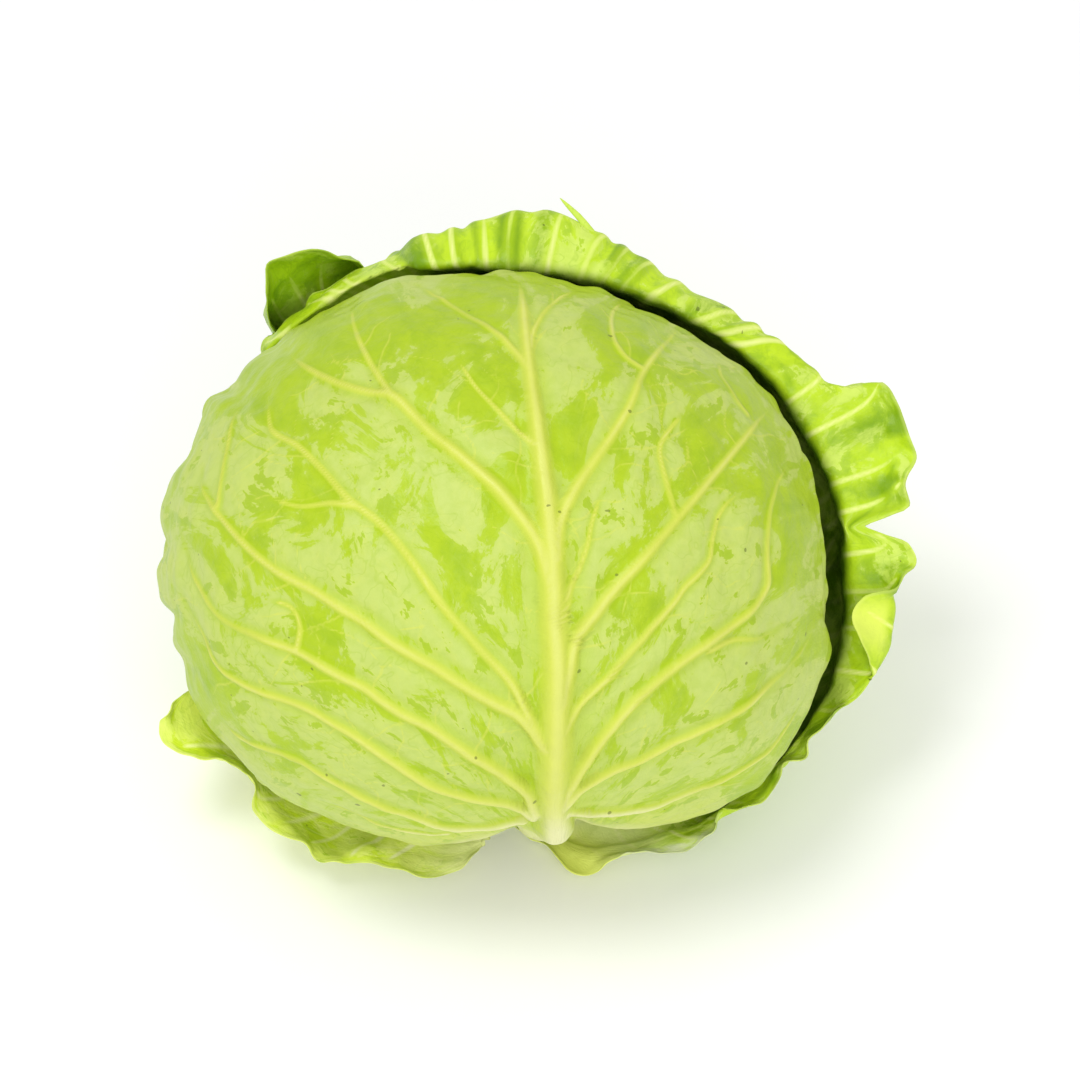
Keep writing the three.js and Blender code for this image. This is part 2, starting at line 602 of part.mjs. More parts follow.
const LEFT_LEAF = { from: 262, to: 72, lift: LEFT_LEAF_LIFT };
const RIGHT_LEAF = { from: -66, to: 122, lift: RIGHT_LEAF_LIFT };

// The wrapper leaf behind the upper left of the head. It runs from the stem across the back of the left
// side, and its tip stands out as a lobe, whose edge is read off the front view: [turn, radius, z].
const UPPER_LOBE = curveThrough([
  [113, 99.5, -24], [115, 101.3, -17], [118, 105.4, -12], [121, 110.8, -9], [124, 113.2, -7],
  [127.5, 115.6, -7], [130.5, 109.3, -10], [133.4, 102.5, -17], [136, 99, -26],
]);
const upperBack = curveThrough([
  [113, 124], [125, 136], [140, 148], [170, 160], [200, 160], [213, 154], [221, 143], [229, 134], [240, 128],
  [262, 124],
]);
const upperFront = curveThrough([
  [113, 112], [125, 112], [140, 114], [170, 119], [200, 119], [229, 117], [262, 116],
]);

function upperProfile(turn) {
  const [back] = upperBack(turn);
  const [front] = upperFront(turn);
  const lobe = smoothstep(turn, 112, 116) * (1 - smoothstep(turn, 133, 137.5));
  const knots = spaced(back, front, 6).map((tilt) => onHead(tilt, turn, UPPER_LEAF_LIFT));
  const [radius, z] = UPPER_LOBE(turn);
  const edge = seenAt(turn, radius, z);
  const root = seenAt(turn, 101.5, z - 16);
  knots[4].lerp(root, lobe);
  knots[5].lerp(edge, lobe);
  return knots;
}

const UPPER_LEAF_TURNS = [
  113, 115, 118, 121, 124, 127.5, 130.5, 133.4, 136, 140, 147, 156, 166, 176, 186, 196, 206, 214, 222, 231,
  241, 251, 262,
];
const UPPER_SIDE_VEINS = { ...SIDE_VEINS, ahead: 0.12, width: [3, 1.2], height: [1.1, 0.4] };
const UPPER_RIBS = [
  {
    width: [8, 2], height: [1.4, 0.8], steps: 14,
    route: [
      [259, 0.5], [246, 0.5], [232, 0.5], [215, 0.47], [190, 0.45], [165, 0.45], [145, 0.52], [130, 0.62],
    ],
  },
  ...pairedVeins(250, 128, [0.2, 0.42, 0.64], UPPER_SIDE_VEINS),
];

// The wrapper leaf under the lower left of the head, with its crumpled edge read off the front view.
const LOWER_MARGIN_KNOTS = [
  [203.5, 105, -20], [204.7, 110, -14], [206, 115.6, -9], [208.9, 116.8, -8], [213.6, 111.6, -9],
  [219.7, 102.8, -15], [223, 103, -15], [226.4, 107.9, -11], [230.2, 109, -10], [235.8, 107.6, -10],
  [239.9, 108.2, -11], [243.7, 105.1, -13], [248, 102.2, -15], [253, 100.5, -16], [258.4, 100, -17],
  [263.6, 96.7, -19], [266, 91.5, -22], [268.5, 88, -26],
];
const LOWER_MARGIN = curveThrough(LOWER_MARGIN_KNOTS);
const lowerBack = curveThrough([
  [203.5, 112], [210, 126], [222, 134], [229, 125], [240, 116], [252, 112], [268.5, 110],
]);
const LOWER_WALL_TILT = 106;
const LOWER_FOLD = 3.2;

function lowerProfile(turn) {
  const [back] = lowerBack(turn);
  const [radius, z] = LOWER_MARGIN(turn);
  const folded = smoothstep(turn, 204, 212) * (1 - smoothstep(turn, 250, 264));
  const knots = spaced(back, LOWER_WALL_TILT, 4).map((tilt) => onHead(tilt, turn, LOWER_LEAF_LIFT));
  const margin = seenAt(turn, radius, z);
  const inner = knots[3].clone().lerp(margin, 0.55);
  inner.z += folded * LOWER_FOLD * Math.sin(rad((turn - 204) * 19));
  return [...knots, inner, margin];
}

const LOWER_LEAF_TURNS = LOWER_MARGIN_KNOTS.map(([turn]) => turn);
const LOWER_SIDE_VEINS = { ...SIDE_VEINS, reach: 0.36, width: [2.8, 1.1], height: [1, 0.4] };
const LOWER_RIBS = [
  {
    width: [8, 2], height: [2.2, 0.7], steps: 16,
    route: [[266, 0.4], [256, 0.42], [244, 0.45], [232, 0.45], [220, 0.45], [211, 0.5]],
  },
  ...pairedVeins(262, 206, [0.25, 0.45, 0.65], LOWER_SIDE_VEINS),
];

// The tight inner head.
const INNER_RINGS = 11;
const INNER_TURNS = 26;

function innerHead() {
  const turns = spaced(0, 360, INNER_TURNS + 1).slice(0, -1);
  const tilts = spaced(0, 180, INNER_RINGS + 2).slice(1, -1);
  const rows = tilts.map((tilt) => turns.map((turn) => onHead(tilt, turn, INNER_LIFT)));
  const sheet = sheetOf(rows, { closed: true, pole: onHead(0, 0, INNER_LIFT) });
  const back = sheet.points.push(onHead(180, 0, INNER_LIFT)) - 1;
  const first = (rows.length - 1) * turns.length;
  for (let i = 0; i < turns.length; i++)
    sheet.triangles.push([back, first + ((i + 1) % turns.length), first + i]);
  return geometryFrom(solidOf(geometryOf(sheet.points, sheet.triangles)).subtract(stemKeepOut));
}

// The cabbage.
const MATERIALS = {
  front_leaf: { color: 0xc3da5c, roughness: 0.42 },
  wrapper_leaf: { color: 0xa8cb31, roughness: 0.5 },
  head: { color: 0xd3e088, roughness: 0.45 },
  stem: { color: 0xe3e6ad, roughness: 0.6 },
};

function mesh(name, geometry, look) {
  const material = new THREE.MeshStandardMaterial({ metalness: 0, ...MATERIALS[look] });
  const made = new THREE.Mesh(geometry, material);
  made.name = name;
  return made;
}

// The head leans back about its centre, above the middle of the flat spot that it rests on.
const leaning = new THREE.Group();
leaning.rotation.x = rad(90 - LEAN);
leaning.position.z = REST_DEPTH + LEAF_THICKNESS / 2;
leaning.add(
  mesh("inner_head", innerHead(), "head"),
  mesh("stem", stemGeometry(0), "stem"),
  mesh("front_leaf", frontLeaf(), "front_leaf"),
  mesh("left_leaf", sideLeaf({ ...LEFT_LEAF, ribs: sideRibs(LEFT_LEAF.from, LEFT_LEAF.to, 0.5) }), "head"),
  mesh("right_leaf", sideLeaf({ ...RIGHT_LEAF, ribs: sideRibs(RIGHT_LEAF.from, RIGHT_LEAF.to, 0.9) }), "head"),
  mesh("wrapper_leaf_back", wrapperLeaf(), "wrapper_leaf"),
  mesh(
    "wrapper_leaf_upper_left",
    roundLeaf({ turns: UPPER_LEAF_TURNS, shares: spaced(0, 1, 9), profileAt: upperProfile, ribs: UPPER_RIBS }),
    "wrapper_leaf",
  ),
  mesh(
    "wrapper_leaf_lower_left",
    roundLeaf({ turns: LOWER_LEAF_TURNS, shares: spaced(0, 1, 9), profileAt: lowerProfile, ribs: LOWER_RIBS }),
    "wrapper_leaf",
  ),
);

const cabbage = new THREE.Group();
cabbage.add(leaning);

export default cabbage;
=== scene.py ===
import bpy
import numpy as np
from mathutils import Matrix, Vector


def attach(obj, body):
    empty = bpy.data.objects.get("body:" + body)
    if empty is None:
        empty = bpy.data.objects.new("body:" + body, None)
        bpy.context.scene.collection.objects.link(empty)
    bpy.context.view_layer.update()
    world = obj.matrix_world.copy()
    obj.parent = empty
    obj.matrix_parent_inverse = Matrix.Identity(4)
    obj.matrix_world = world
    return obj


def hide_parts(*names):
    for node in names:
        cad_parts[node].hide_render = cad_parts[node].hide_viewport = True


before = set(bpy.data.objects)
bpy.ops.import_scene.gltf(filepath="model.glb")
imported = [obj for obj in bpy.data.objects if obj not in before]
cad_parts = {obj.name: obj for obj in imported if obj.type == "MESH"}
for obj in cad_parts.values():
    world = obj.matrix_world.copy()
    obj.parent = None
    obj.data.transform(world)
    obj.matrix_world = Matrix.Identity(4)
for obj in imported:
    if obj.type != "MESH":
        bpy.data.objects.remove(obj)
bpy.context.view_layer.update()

rng = np.random.default_rng(23)

# Driving dimensions, as in the solids: lengths in millimetres and angles in degrees.
HEAD_HALF_WIDTH = 95.5
HEAD_HALF_HEIGHT = 80.5
HEAD_FRONT_DEPTH = 86
HEAD_BACK_DEPTH = 84
LEAF_THICKNESS = 1.0
LEAN = 50
REST_DEPTH = 86.2  # from the head's centre to where a wrapper leaf's middle is pressed flat
PRESS_SOFTNESS = 1.5
FLAT_DEPTH = 86.8  # from the head's centre to the resting plane

INNER_LIFT = -0.9
LEFT_LEAF_LIFT = 0.9
RIGHT_LEAF_LIFT = 2.9
FRONT_LEAF_LIFT = 6.8
WRAPPER_LIFT = 6.6
UPPER_LEAF_LIFT = 9.6
LOWER_LEAF_LIFT = 13.2

# The front view: millimetres to a unit of it, the eye's distance, and its middle and the head's in its units.
VIEW_UNIT = 0.31
EYE_DISTANCE = 1000
VIEW_MIDDLE = np.array([540, 540])
HEAD_MIDDLE = np.array([495, 558])
HEAD_X = (HEAD_MIDDLE[0] - VIEW_MIDDLE[0]) * VIEW_UNIT
HEAD_Y = (VIEW_MIDDLE[1] - HEAD_MIDDLE[1]) * VIEW_UNIT
MM = 0.001
STEM_END = np.array([15.6, -83.2, -14])
STEM_AXIS = np.array([0.12, -0.985, -0.12])
STEM_REACH = (18, 85)  # how far from the stem's end the leaves grow paler

LEAN_TURN = Matrix.Rotation(np.radians(90 - LEAN), 3, "X")
DOWN = np.array([0, -np.cos(np.radians(LEAN)), -np.sin(np.radians(LEAN))])


def in_frame(points):
    """Points of the front view, in millimetres, as metres in the part's frame."""
    placed = np.asarray(points) @ np.array(LEAN_TURN).T
    lifted = (placed + [0, 0, FLAT_DEPTH]) * MM
    lifted[..., 2] = np.maximum(lifted[..., 2], 0)
    return lifted


def smoothstep(x, low, high):
    t = np.clip((x - low) / (high - low), 0, 1)
    return t * t * (3 - 2 * t)


def lerp(a, b, t):
    return a + (b - a) * t


def curve_through(knots, period=0):
    """A smooth curve through (x, value, ...) knots that never overshoots them."""
    table = np.array(knots, float)
    if period:
        shift = np.zeros(table.shape[1])
        shift[0] = period
        table = np.vstack([table[-1] - shift, table, table[0] + shift])
    x, y = table[:, 0], table[:, 1:]
    slope = np.diff(y, axis=0) / np.diff(x)[:, None]
    a, b = slope[:-1], slope[1:]
    total = np.where(a * b > 0, a + b, 1)
    tangent = np.vstack([slope[:1], np.where(a * b > 0, 2 * a * b / total, 0), slope[-1:]])

    def at(value):
        value = np.asarray(value, float)
        if period:
            value = x[1] + np.mod(value - x[1], period)
        value = np.clip(value, x[0], x[-1])
        i = np.clip(np.searchsorted(x, value) - 1, 0, len(x) - 2)
        step = (x[i + 1] - x[i])[..., None]
        t = (value - x[i])[..., None] / step
        curved = (
            y[i] * (2 * t**3 - 3 * t**2 + 1)
            + tangent[i] * step * (t**3 - 2 * t**2 + t)
            + y[i + 1] * (3 * t**2 - 2 * t**3)
            + tangent[i + 1] * step * (t**3 - t**2)
        )
        return np.moveaxis(curved, -1, 0)

    return at


def turn_between(a, b):
    return np.mod(a - b + 180, 360) - 180


def hump(turn, middle, spread):
    """A smooth hump of height 1 round a turn."""
    return np.exp(-((turn_between(turn, middle) / spread) ** 2))


def window(x, start, full, fade, end):
    """A share that rises from start to full, and falls from fade to end."""
    return smoothstep(x, start, full) * (1 - smoothstep(x, fade, end))


def polar(x, y):
    """The turn and the radius of points."""
    return np.degrees(np.arctan2(y, x)), np.hypot(x, y)


def unit(vectors):
    return vectors / np.maximum(np.linalg.norm(vectors, axis=-1, keepdims=True), 1e-9)


# The head's form.
OUTLINE_BULGES = [(-33, 18, 7.5), (225, 22, 4.5), (-85, 12, -3)]  # turn, spread, height


def head_radius(turn):
    angle = np.radians(turn)
    radius = 1 / np.hypot(np.cos(angle) / HEAD_HALF_WIDTH, np.sin(angle) / HEAD_HALF_HEIGHT)
    for middle, spread, height in OUTLINE_BULGES:
        radius = radius + height * hump(turn, middle, spread)
    return radius


def pressed(points, lift):
    """Points held above the resting plane, with a soft bend where a leaf meets it."""
    floor = REST_DEPTH + np.minimum(lift, WRAPPER_LIFT) - WRAPPER_LIFT
    depth = points @ DOWN
    past = np.maximum(depth - floor + PRESS_SOFTNESS, 0)
    kept = np.where(past >= 2 * PRESS_SOFTNESS, floor, depth - past**2 / (4 * PRESS_SOFTNESS))
    return points + (kept - depth)[..., None] * DOWN


def on_head(tilt, turn, lift):
    """Points of the head's surface, raised by a lift."""
    tilt, turn, lift = np.broadcast_arrays(*(np.asarray(v, float) for v in (tilt, turn, lift)))
    a, b = np.radians(tilt), np.radians(turn)
    r = (head_radius(turn) + lift) * np.sin(a)
    depth = np.where(tilt < 90, HEAD_FRONT_DEPTH, HEAD_BACK_DEPTH)
    points = np.stack([r * np.cos(b), r * np.sin(b), (depth + lift) * np.cos(a)], -1)
    return pressed(points, lift)


def seen_at(turn, radius, z):
    """The point at depth z that the front view shows at a turn and a radius round the head's middle."""
    scale = 1 - z / EYE_DISTANCE
    x = (HEAD_X + radius * np.cos(np.radians(turn))) * scale - HEAD_X
    y = (HEAD_Y + radius * np.sin(np.radians(turn))) * scale - HEAD_Y
    return np.stack([x, y, np.broadcast_to(z, x.shape)], -1)


def shown_at(points):
    """The turn and radius at which the front view shows points."""
    scale = 1 - points[..., 2] / EYE_DISTANCE
    x = (points[..., 0] + HEAD_X) / scale - HEAD_X
    y = (points[..., 1] + HEAD_Y) / scale - HEAD_Y
    return polar(x, y)


def view_place(places):
    """The turn and radius of places given in the front view's units."""
    offset = (np.asarray(places, float) - HEAD_MIDDLE) * VIEW_UNIT * [1, -1]
    return polar(offset[..., 0], offset[..., 1])


def waves(points, length, count=14):
    """Smooth noise of about unit height: plane waves of one length in random directions."""
    directions = rng.normal(size=(count, 3))
    directions *= 2 * np.pi / length / np.linalg.norm(directions, axis=1)[:, None]
    directions *= rng.uniform(0.7, 1.3, (count, 1))
    phases = rng.uniform(0, 2 * np.pi, count)
    return np.cos(points @ directions.T + phases).sum(-1) * np.sqrt(2 / count)


# Veins.
FAR = 40.0  # the distance given to what is beyond a vein's reach
VEIN_REACH = 16.0
VEIN_STEPS = 8  # points to a stretch of a route
VEIN_FADE = 0.86  # the share of its length where a vein starts to fade
FORK_STEPS = 4
FORK_LIMIT = 0.8  # the share of a vein that carries forks


def through(places):
    """Points along a centripetal curve through places in a leaf's own coordinates."""
    places = np.asarray(places, float)
    ends = np.vstack([2 * places[0] - places[1], places, 2 * places[-1] - places[-2]])
    made = []
    for i in range(len(places) - 1):
        p = ends[i : i + 4]
        lengths = np.maximum(np.linalg.norm(np.diff(p, axis=0), axis=1), 1e-9)
        knots = np.concatenate([[0], np.cumsum(lengths**0.5)])
        for t in np.linspace(knots[1], knots[2], VEIN_STEPS, endpoint=False):
            a = [lerp(p[k], p[k + 1], (t - knots[k]) / (knots[k + 1] - knots[k])) for k in range(3)]
            b = [lerp(a[k], a[k + 1], (t - knots[k]) / (knots[k + 2] - knots[k])) for k in range(2)]
            made.append(lerp(b[0], b[1], (t - knots[1]) / (knots[2] - knots[1])))
    return np.array(made + [places[-1]])


def vein_field(points, veins):
    """Each point's distance from the nearest vein in half widths and in millimetres, and the relief there.

    A vein fades out over the last part of its length.
    """
    count = len(points)
    ratio = np.full(count, FAR)
    near = np.full(count, VEIN_REACH)
    relief = np.zeros(count)
    for line, width, height in veins:
        within = (points > line.min(0) - VEIN_REACH) & (points < line.max(0) + VEIN_REACH)
        index = np.flatnonzero(np.all(within, 1))
        p = points[index]
        best = np.full(len(index), FAR)
        share = np.zeros(len(index))
        for i, (a, b) in enumerate(zip(line[:-1], line[1:])):
            ab = b - a
            t = np.clip((p - a) @ ab / max(ab @ ab, 1e-9), 0, 1)
            distance = np.linalg.norm(p - a - t[:, None] * ab, axis=1)
            closer = distance < best
            best[closer] = distance[closer]
            share[closer] = (i + t[closer]) / (len(line) - 1)
        fade = smoothstep(share, VEIN_FADE, 1)
        x = best / (lerp(*width, share) / 2)
        ratio[index] = np.minimum(ratio[index], x + 1.1 * fade)
        near[index] = np.minimum(near[index], best + 2 * fade)
        high = lerp(*height, share) * (1 - fade)
        arch = high * (np.exp(-((x / 0.9) ** 2.2)) - 0.18 * np.exp(-(((x - 2.0) / 0.75) ** 2)))
        stronger = np.abs(arch) > np.abs(relief[index])
        relief[index] = np.where(stronger, arch, relief[index])
    return ratio, near, relief


def fork_routes(routes, every, length, aim):
    """Thin veins that leave other veins by turns on each side, in a leaf's own coordinates."""
    made = []
    for route in routes:
        line = through(route)
        steps = np.linalg.norm(np.diff(line, axis=0), axis=1)
        walked = np.concatenate([[0], np.cumsum(steps)])
        at = every * rng.uniform(0.5, 1.3)
        side = rng.choice([-1, 1])
        while at < walked[-1] * FORK_LIMIT:
            i = int(np.clip(np.searchsorted(walked, at), 1, len(line) - 2))
            ahead = unit(line[i + 1] - line[i - 1])
            across = side * np.array([-ahead[1], ahead[0]])
            place = line[i]
            fork = [place]
            reach = length * rng.uniform(0.7, 1.5)
            for _ in range(FORK_STEPS):
                lean = np.clip(aim + rng.uniform(-0.3, 0.3), 0.15, 0.9)
                place = place + reach / FORK_STEPS * (lean * ahead + (1 - lean) * across)
                fork.append(place)
            made.append(fork)
            side = -side
            at += every * rng.uniform(0.6, 1.4)
    return made


# Meshes.


def disc_grid(n):
    """The two coordinates of a square grid of n by n cells laid over the unit disc."""
    s = np.linspace(-1, 1, n + 1)
    x, y = np.meshgrid(s, s, indexing="ij")
    wide = np.abs(x) >= np.abs(y)
    radius = np.where(wide, x, y)
    other = np.where(wide, y, x)
    safe = np.where(radius == 0, 1, radius)
    angle = np.where(wide, np.pi / 4 * other / safe, np.pi / 2 - np.pi / 4 * other / safe)
    return radius * np.cos(angle), radius * np.sin(angle)


def border_of(rows, columns):
    """The border of a grid of points, in order round it."""
    bottom = [(i, 0) for i in range(rows - 1)]
    right = [(rows - 1, j) for j in range(columns - 1)]
    top = [(i, columns - 1) for i in range(rows - 1, 0, -1)]
    left = [(0, j) for j in range(columns - 1, 0, -1)]
    return np.array([i * columns + j for i, j in bottom + right + top + left])


def grid_faces(rows, columns, offset, flip):
    i, j = np.meshgrid(np.arange(rows - 1), np.arange(columns - 1), indexing="ij")
    a = (i * columns + j + offset).ravel()
    quads = np.stack([a, a + columns, a + columns + 1, a + 1], -1)
    return quads[:, ::-1] if flip else quads


def grid_normals(grid, flip):
    normal = unit(np.cross(np.gradient(grid, axis=0), np.gradient(grid, axis=1)))
    return -normal if flip else normal


EDGE_SHARE = 0.45  # of the thickness that is left at a leaf's edge
EDGE_REACH = 6  # how far in from the edge a leaf gets its full thickness
DENT_LENGTH = 46
FRILL_LENGTH = 11
FRILL_REACH = 9  # how far in from the edge a leaf is frilled
PUFF_REACH = 6  # how far from a vein the leaf between the veins is raised
LAMINA_WAVES = ((0.2, 17), (0.12, 8))  # height, length
INNER_RELIEF = 0.15  # the share of the outer relief that the inner face shows


def leaf_mesh(name, grid, outer, inner, fields, flip=False, inner_step=1):
    """A closed leaf round a grid of points: its outer face, a rounded edge and its inner face."""
    rows, columns = grid.shape[:2]
    normal = grid_normals(grid, flip)
    full = smoothstep(edge_distance(grid), 0, EDGE_REACH)
    half = LEAF_THICKNESS / 2 * lerp(EDGE_SHARE, 1, full)[..., None]
    top = grid + normal * (half + outer[..., None])
    bottom = (grid - normal * (half + inner[..., None]))[::inner_step, ::inner_step]
    border = border_of(rows, columns)
    inner_rows, inner_columns = bottom.shape[:2]
    inner_border = border_of(inner_rows, inner_columns)
    flat_top = top.reshape(-1, 3)
    flat_bottom = bottom.reshape(-1, 3)
    middle = grid.reshape(-1, 3)[border]
    out = unit(middle - grid[1:-1, 1:-1].reshape(-1, 3)[nearest_inside(rows, columns, border)])
    rim = (flat_top[border] + middle) / 2 + out * LEAF_THICKNESS * 0.2
    points = np.vstack([flat_top, rim, flat_bottom])
    first_rim = len(flat_top)
    first_bottom = first_rim + len(rim)
    n = len(border)
    k = np.arange(n)
    after = (k + 1) % n
    strip = np.stack([border[k], border[after], first_rim + after, first_rim + k], -1)
    coarse = np.repeat(inner_border, inner_step) + first_bottom
    fan = np.stack([first_rim + k, first_rim + after, coarse[k]], -1)
    ends = k[inner_step - 1 :: inner_step]
    close = np.stack([first_rim + after[ends], coarse[after[ends]], coarse[ends]], -1)
    quads = np.vstack([
        grid_faces(rows, columns, 0, flip),
        strip if flip else strip[:, ::-1],
        grid_faces(inner_rows, inner_columns, first_bottom, not flip),
    ])
    triangles = np.vstack([fan, close])
    triangles = triangles if flip else triangles[:, ::-1]
    values = {}
    for key, field in fields.items():
        flat = field.ravel()
        values[key] = np.concatenate([flat, flat[border], field[::inner_step, ::inner_step].ravel()])
    outside = [np.ones(len(flat_top)), np.full(n, 0.5), np.zeros(len(flat_bottom))]
    values["outside"] = np.concatenate(outside)
    return make_object(name, points, quads, triangles, values)


def nearest_inside(rows, columns, border):
    """The index, in the grid without its border, of the point next to each border point."""
    i = np.clip(border // columns, 1, rows - 2) - 1
    j = np.clip(border % columns, 1, columns - 2) - 1
    return i * (columns - 2) + j


def edge_distance(grid):
    """Roughly how far each grid point is from the grid's border, in millimetres."""
    nearest = []
    for axis in (0, 1):
        steps = np.linalg.norm(np.diff(grid, axis=axis), axis=-1)
        walked = np.insert(np.cumsum(steps, axis), 0, 0, axis)
        nearest.append(np.minimum(walked, walked.take([-1], axis) - walked))
    return np.minimum(*nearest)


def add_object(name, data):
    made = bpy.data.objects.new(name, data)
    bpy.context.scene.collection.objects.link(made)
    return made


def make_object(name, points, quads, triangles, values):
    """A smooth mesh of quads and triangles, with a field of values for each name."""
    mesh = bpy.data.meshes.new(name)
    mesh.vertices.add(len(points))
    mesh.vertices.foreach_set("co", in_frame(points).astype(np.float32).ravel())
    loops = np.concatenate([quads.ravel(), triangles.ravel()]).astype(np.int32)
    starts = np.concatenate([np.arange(len(quads)) * 4, len(quads) * 4 + np.arange(len(triangles)) * 3])
    mesh.loops.add(len(loops))
    mesh.loops.foreach_set("vertex_index", loops)
    mesh.polygons.add(len(starts))
    mesh.polygons.foreach_set("loop_start", starts.astype(np.int32))
    mesh.update(calc_edges=True)
    mesh.validate()
    mesh.shade_smooth()
    for key, field in values.items():
        attribute = mesh.attributes.new(key, "FLOAT", "POINT")
        attribute.data.foreach_set("value", field.astype(np.float32))
    return add_object(name, mesh)


def stem_near(points):
    """1 at the stem's end, down to 0 where the leaves have their full colour."""
    return 1 - smoothstep(np.linalg.norm(points - STEM_END, axis=-1), *STEM_REACH)


ZERO_FIELDS = ("base", "across", "along", "painted_light_and_shade", "hollow_shade", "dry", "outside")


def plain_fields(shape):
    """The fields of a surface without veins, edge, painted light or painted shade."""
    fields = {key: np.full(shape, FAR) for key in ("vein", "twig", "edge")}
    fields.update({key: np.zeros(shape) for key in ZERO_FIELDS})
    return fields


def leaf_fields(grid, veins, twigs, puff, across, along):
    """A leaf's fields over a grid, the relief of its outer face and that of its inner face.

    "across" and "along" are the leaf's own coordinates, in millimetres across and along its veins.
    """
    points = grid.reshape(-1, 3)
    ratio, near, relief = vein_field(points, veins)
    twig, _, twig_relief = vein_field(points, twigs)
    relief = np.where(np.abs(twig_relief) > np.abs(relief), twig_relief, relief)
    lamina = puff * (1 - np.exp(-near / PUFF_REACH))
    for height, length in LAMINA_WAVES:
        lamina = lamina + height * waves(points, length)
    shape = grid.shape[:2]
    fields = plain_fields(shape)
    fields.update(vein=ratio.reshape(shape), twig=twig.reshape(shape), edge=edge_distance(grid))
    fields.update(base=stem_near(grid), across=across, along=along)
    outer = (relief + lamina).reshape(shape)
    inner = (-INNER_RELIEF * relief - lamina).reshape(shape)
    return fields, outer, inner


def waved(grid, flip, dents, frill=0.5, ruffle=0.0):
    """A grid moved along its normals by gentle dents and a given ruffle, and more near its edge."""
    height = dents * waves(grid, DENT_LENGTH) + ruffle
    near_edge = 1 - smoothstep(edge_distance(grid), 0, FRILL_REACH)
    height = height + frill * waves(grid, FRILL_LENGTH) * near_edge
    return grid + grid_normals(grid, flip) * height[..., None]


# The front leaf.
FRONT_MARGIN = [
    (165, 595), (180, 615), (178, 640), (190, 660), (195, 690), (206, 710), (228, 738), (255, 768),
    (290, 795), (330, 812), (380, 830), (430, 838), (480, 831), (518, 818), (530, 828), (556, 833),
    (566, 826), (573, 809), (600, 816), (640, 821), (690, 814), (730, 796), (765, 766), (790, 731),
    (812, 690), (824, 650), (818, 612), (820, 560), (815, 505), (800, 458), (771, 405), (745, 376),
    (700, 345), (650, 318), (590, 291), (550, 280), (510, 276), (480, 278), (440, 279), (395, 283),
    (345, 306), (300, 334), (282, 348), (250, 370), (235, 393), (213, 404), (204, 430), (197, 455),
    (178, 480), (168, 514), (175, 545), (163, 570),
]
margin_turn, margin_radius = view_place(FRONT_MARGIN)
front_margin_radius = curve_through(sorted(zip(margin_turn, margin_radius)), 360)
front_margin_tilt = curve_through(
    [(-150, 90), (-85, 93), (-40, 89), (20, 84), (60, 83), (100, 85), (160, 88)], 360
)
FRONT_RUFFLE = 1.6
FRONT_RUFFLE_RIGHT = 0.7


def front_point(a, b):
    """Points of the front leaf at places of a unit disc, with its margin where the front view has it."""
    turn, share = polar(a, b)
    (tilt,) = front_margin_tilt(turn)
    (radius,) = front_margin_radius(turn)
    point = on_head(share * tilt, turn, FRONT_LEAF_LIFT)
    edge = on_head(tilt, turn, FRONT_LEAF_LIFT)
    height = lerp(FRONT_RUFFLE_RIGHT, FRONT_RUFFLE, smoothstep(np.abs(turn), 60, 150))
    ruffle = height * np.sin(np.radians(turn * 23))
    target = seen_at(turn, radius, edge[..., 2] + ruffle)
    return point + (target - edge) * smoothstep(share, 0.62, 1)[..., None]


def disc_place(turn, share):
    return np.stack([share * np.cos(np.radians(turn)), share * np.sin(np.radians(turn))], -1)


def front_place(places):
    """The front leaf's own coordinates of places in the front view."""
    wanted_turn, wanted_radius = view_place(places)
    turn = wanted_turn
    for _ in range(6):
        low, high = np.zeros(len(turn)), np.ones(len(turn))
        for _ in range(18):
            share = (low + high) / 2
            _, radius = shown_at(front_point(*disc_place(turn, share).T))
            low = np.where(radius < wanted_radius, share, low)
            high = np.where(radius < wanted_radius, high, share)
        shown, _ = shown_at(front_point(*disc_place(turn, share).T))
        turn = turn + turn_between(wanted_turn, shown)
    return disc_place(turn, share)


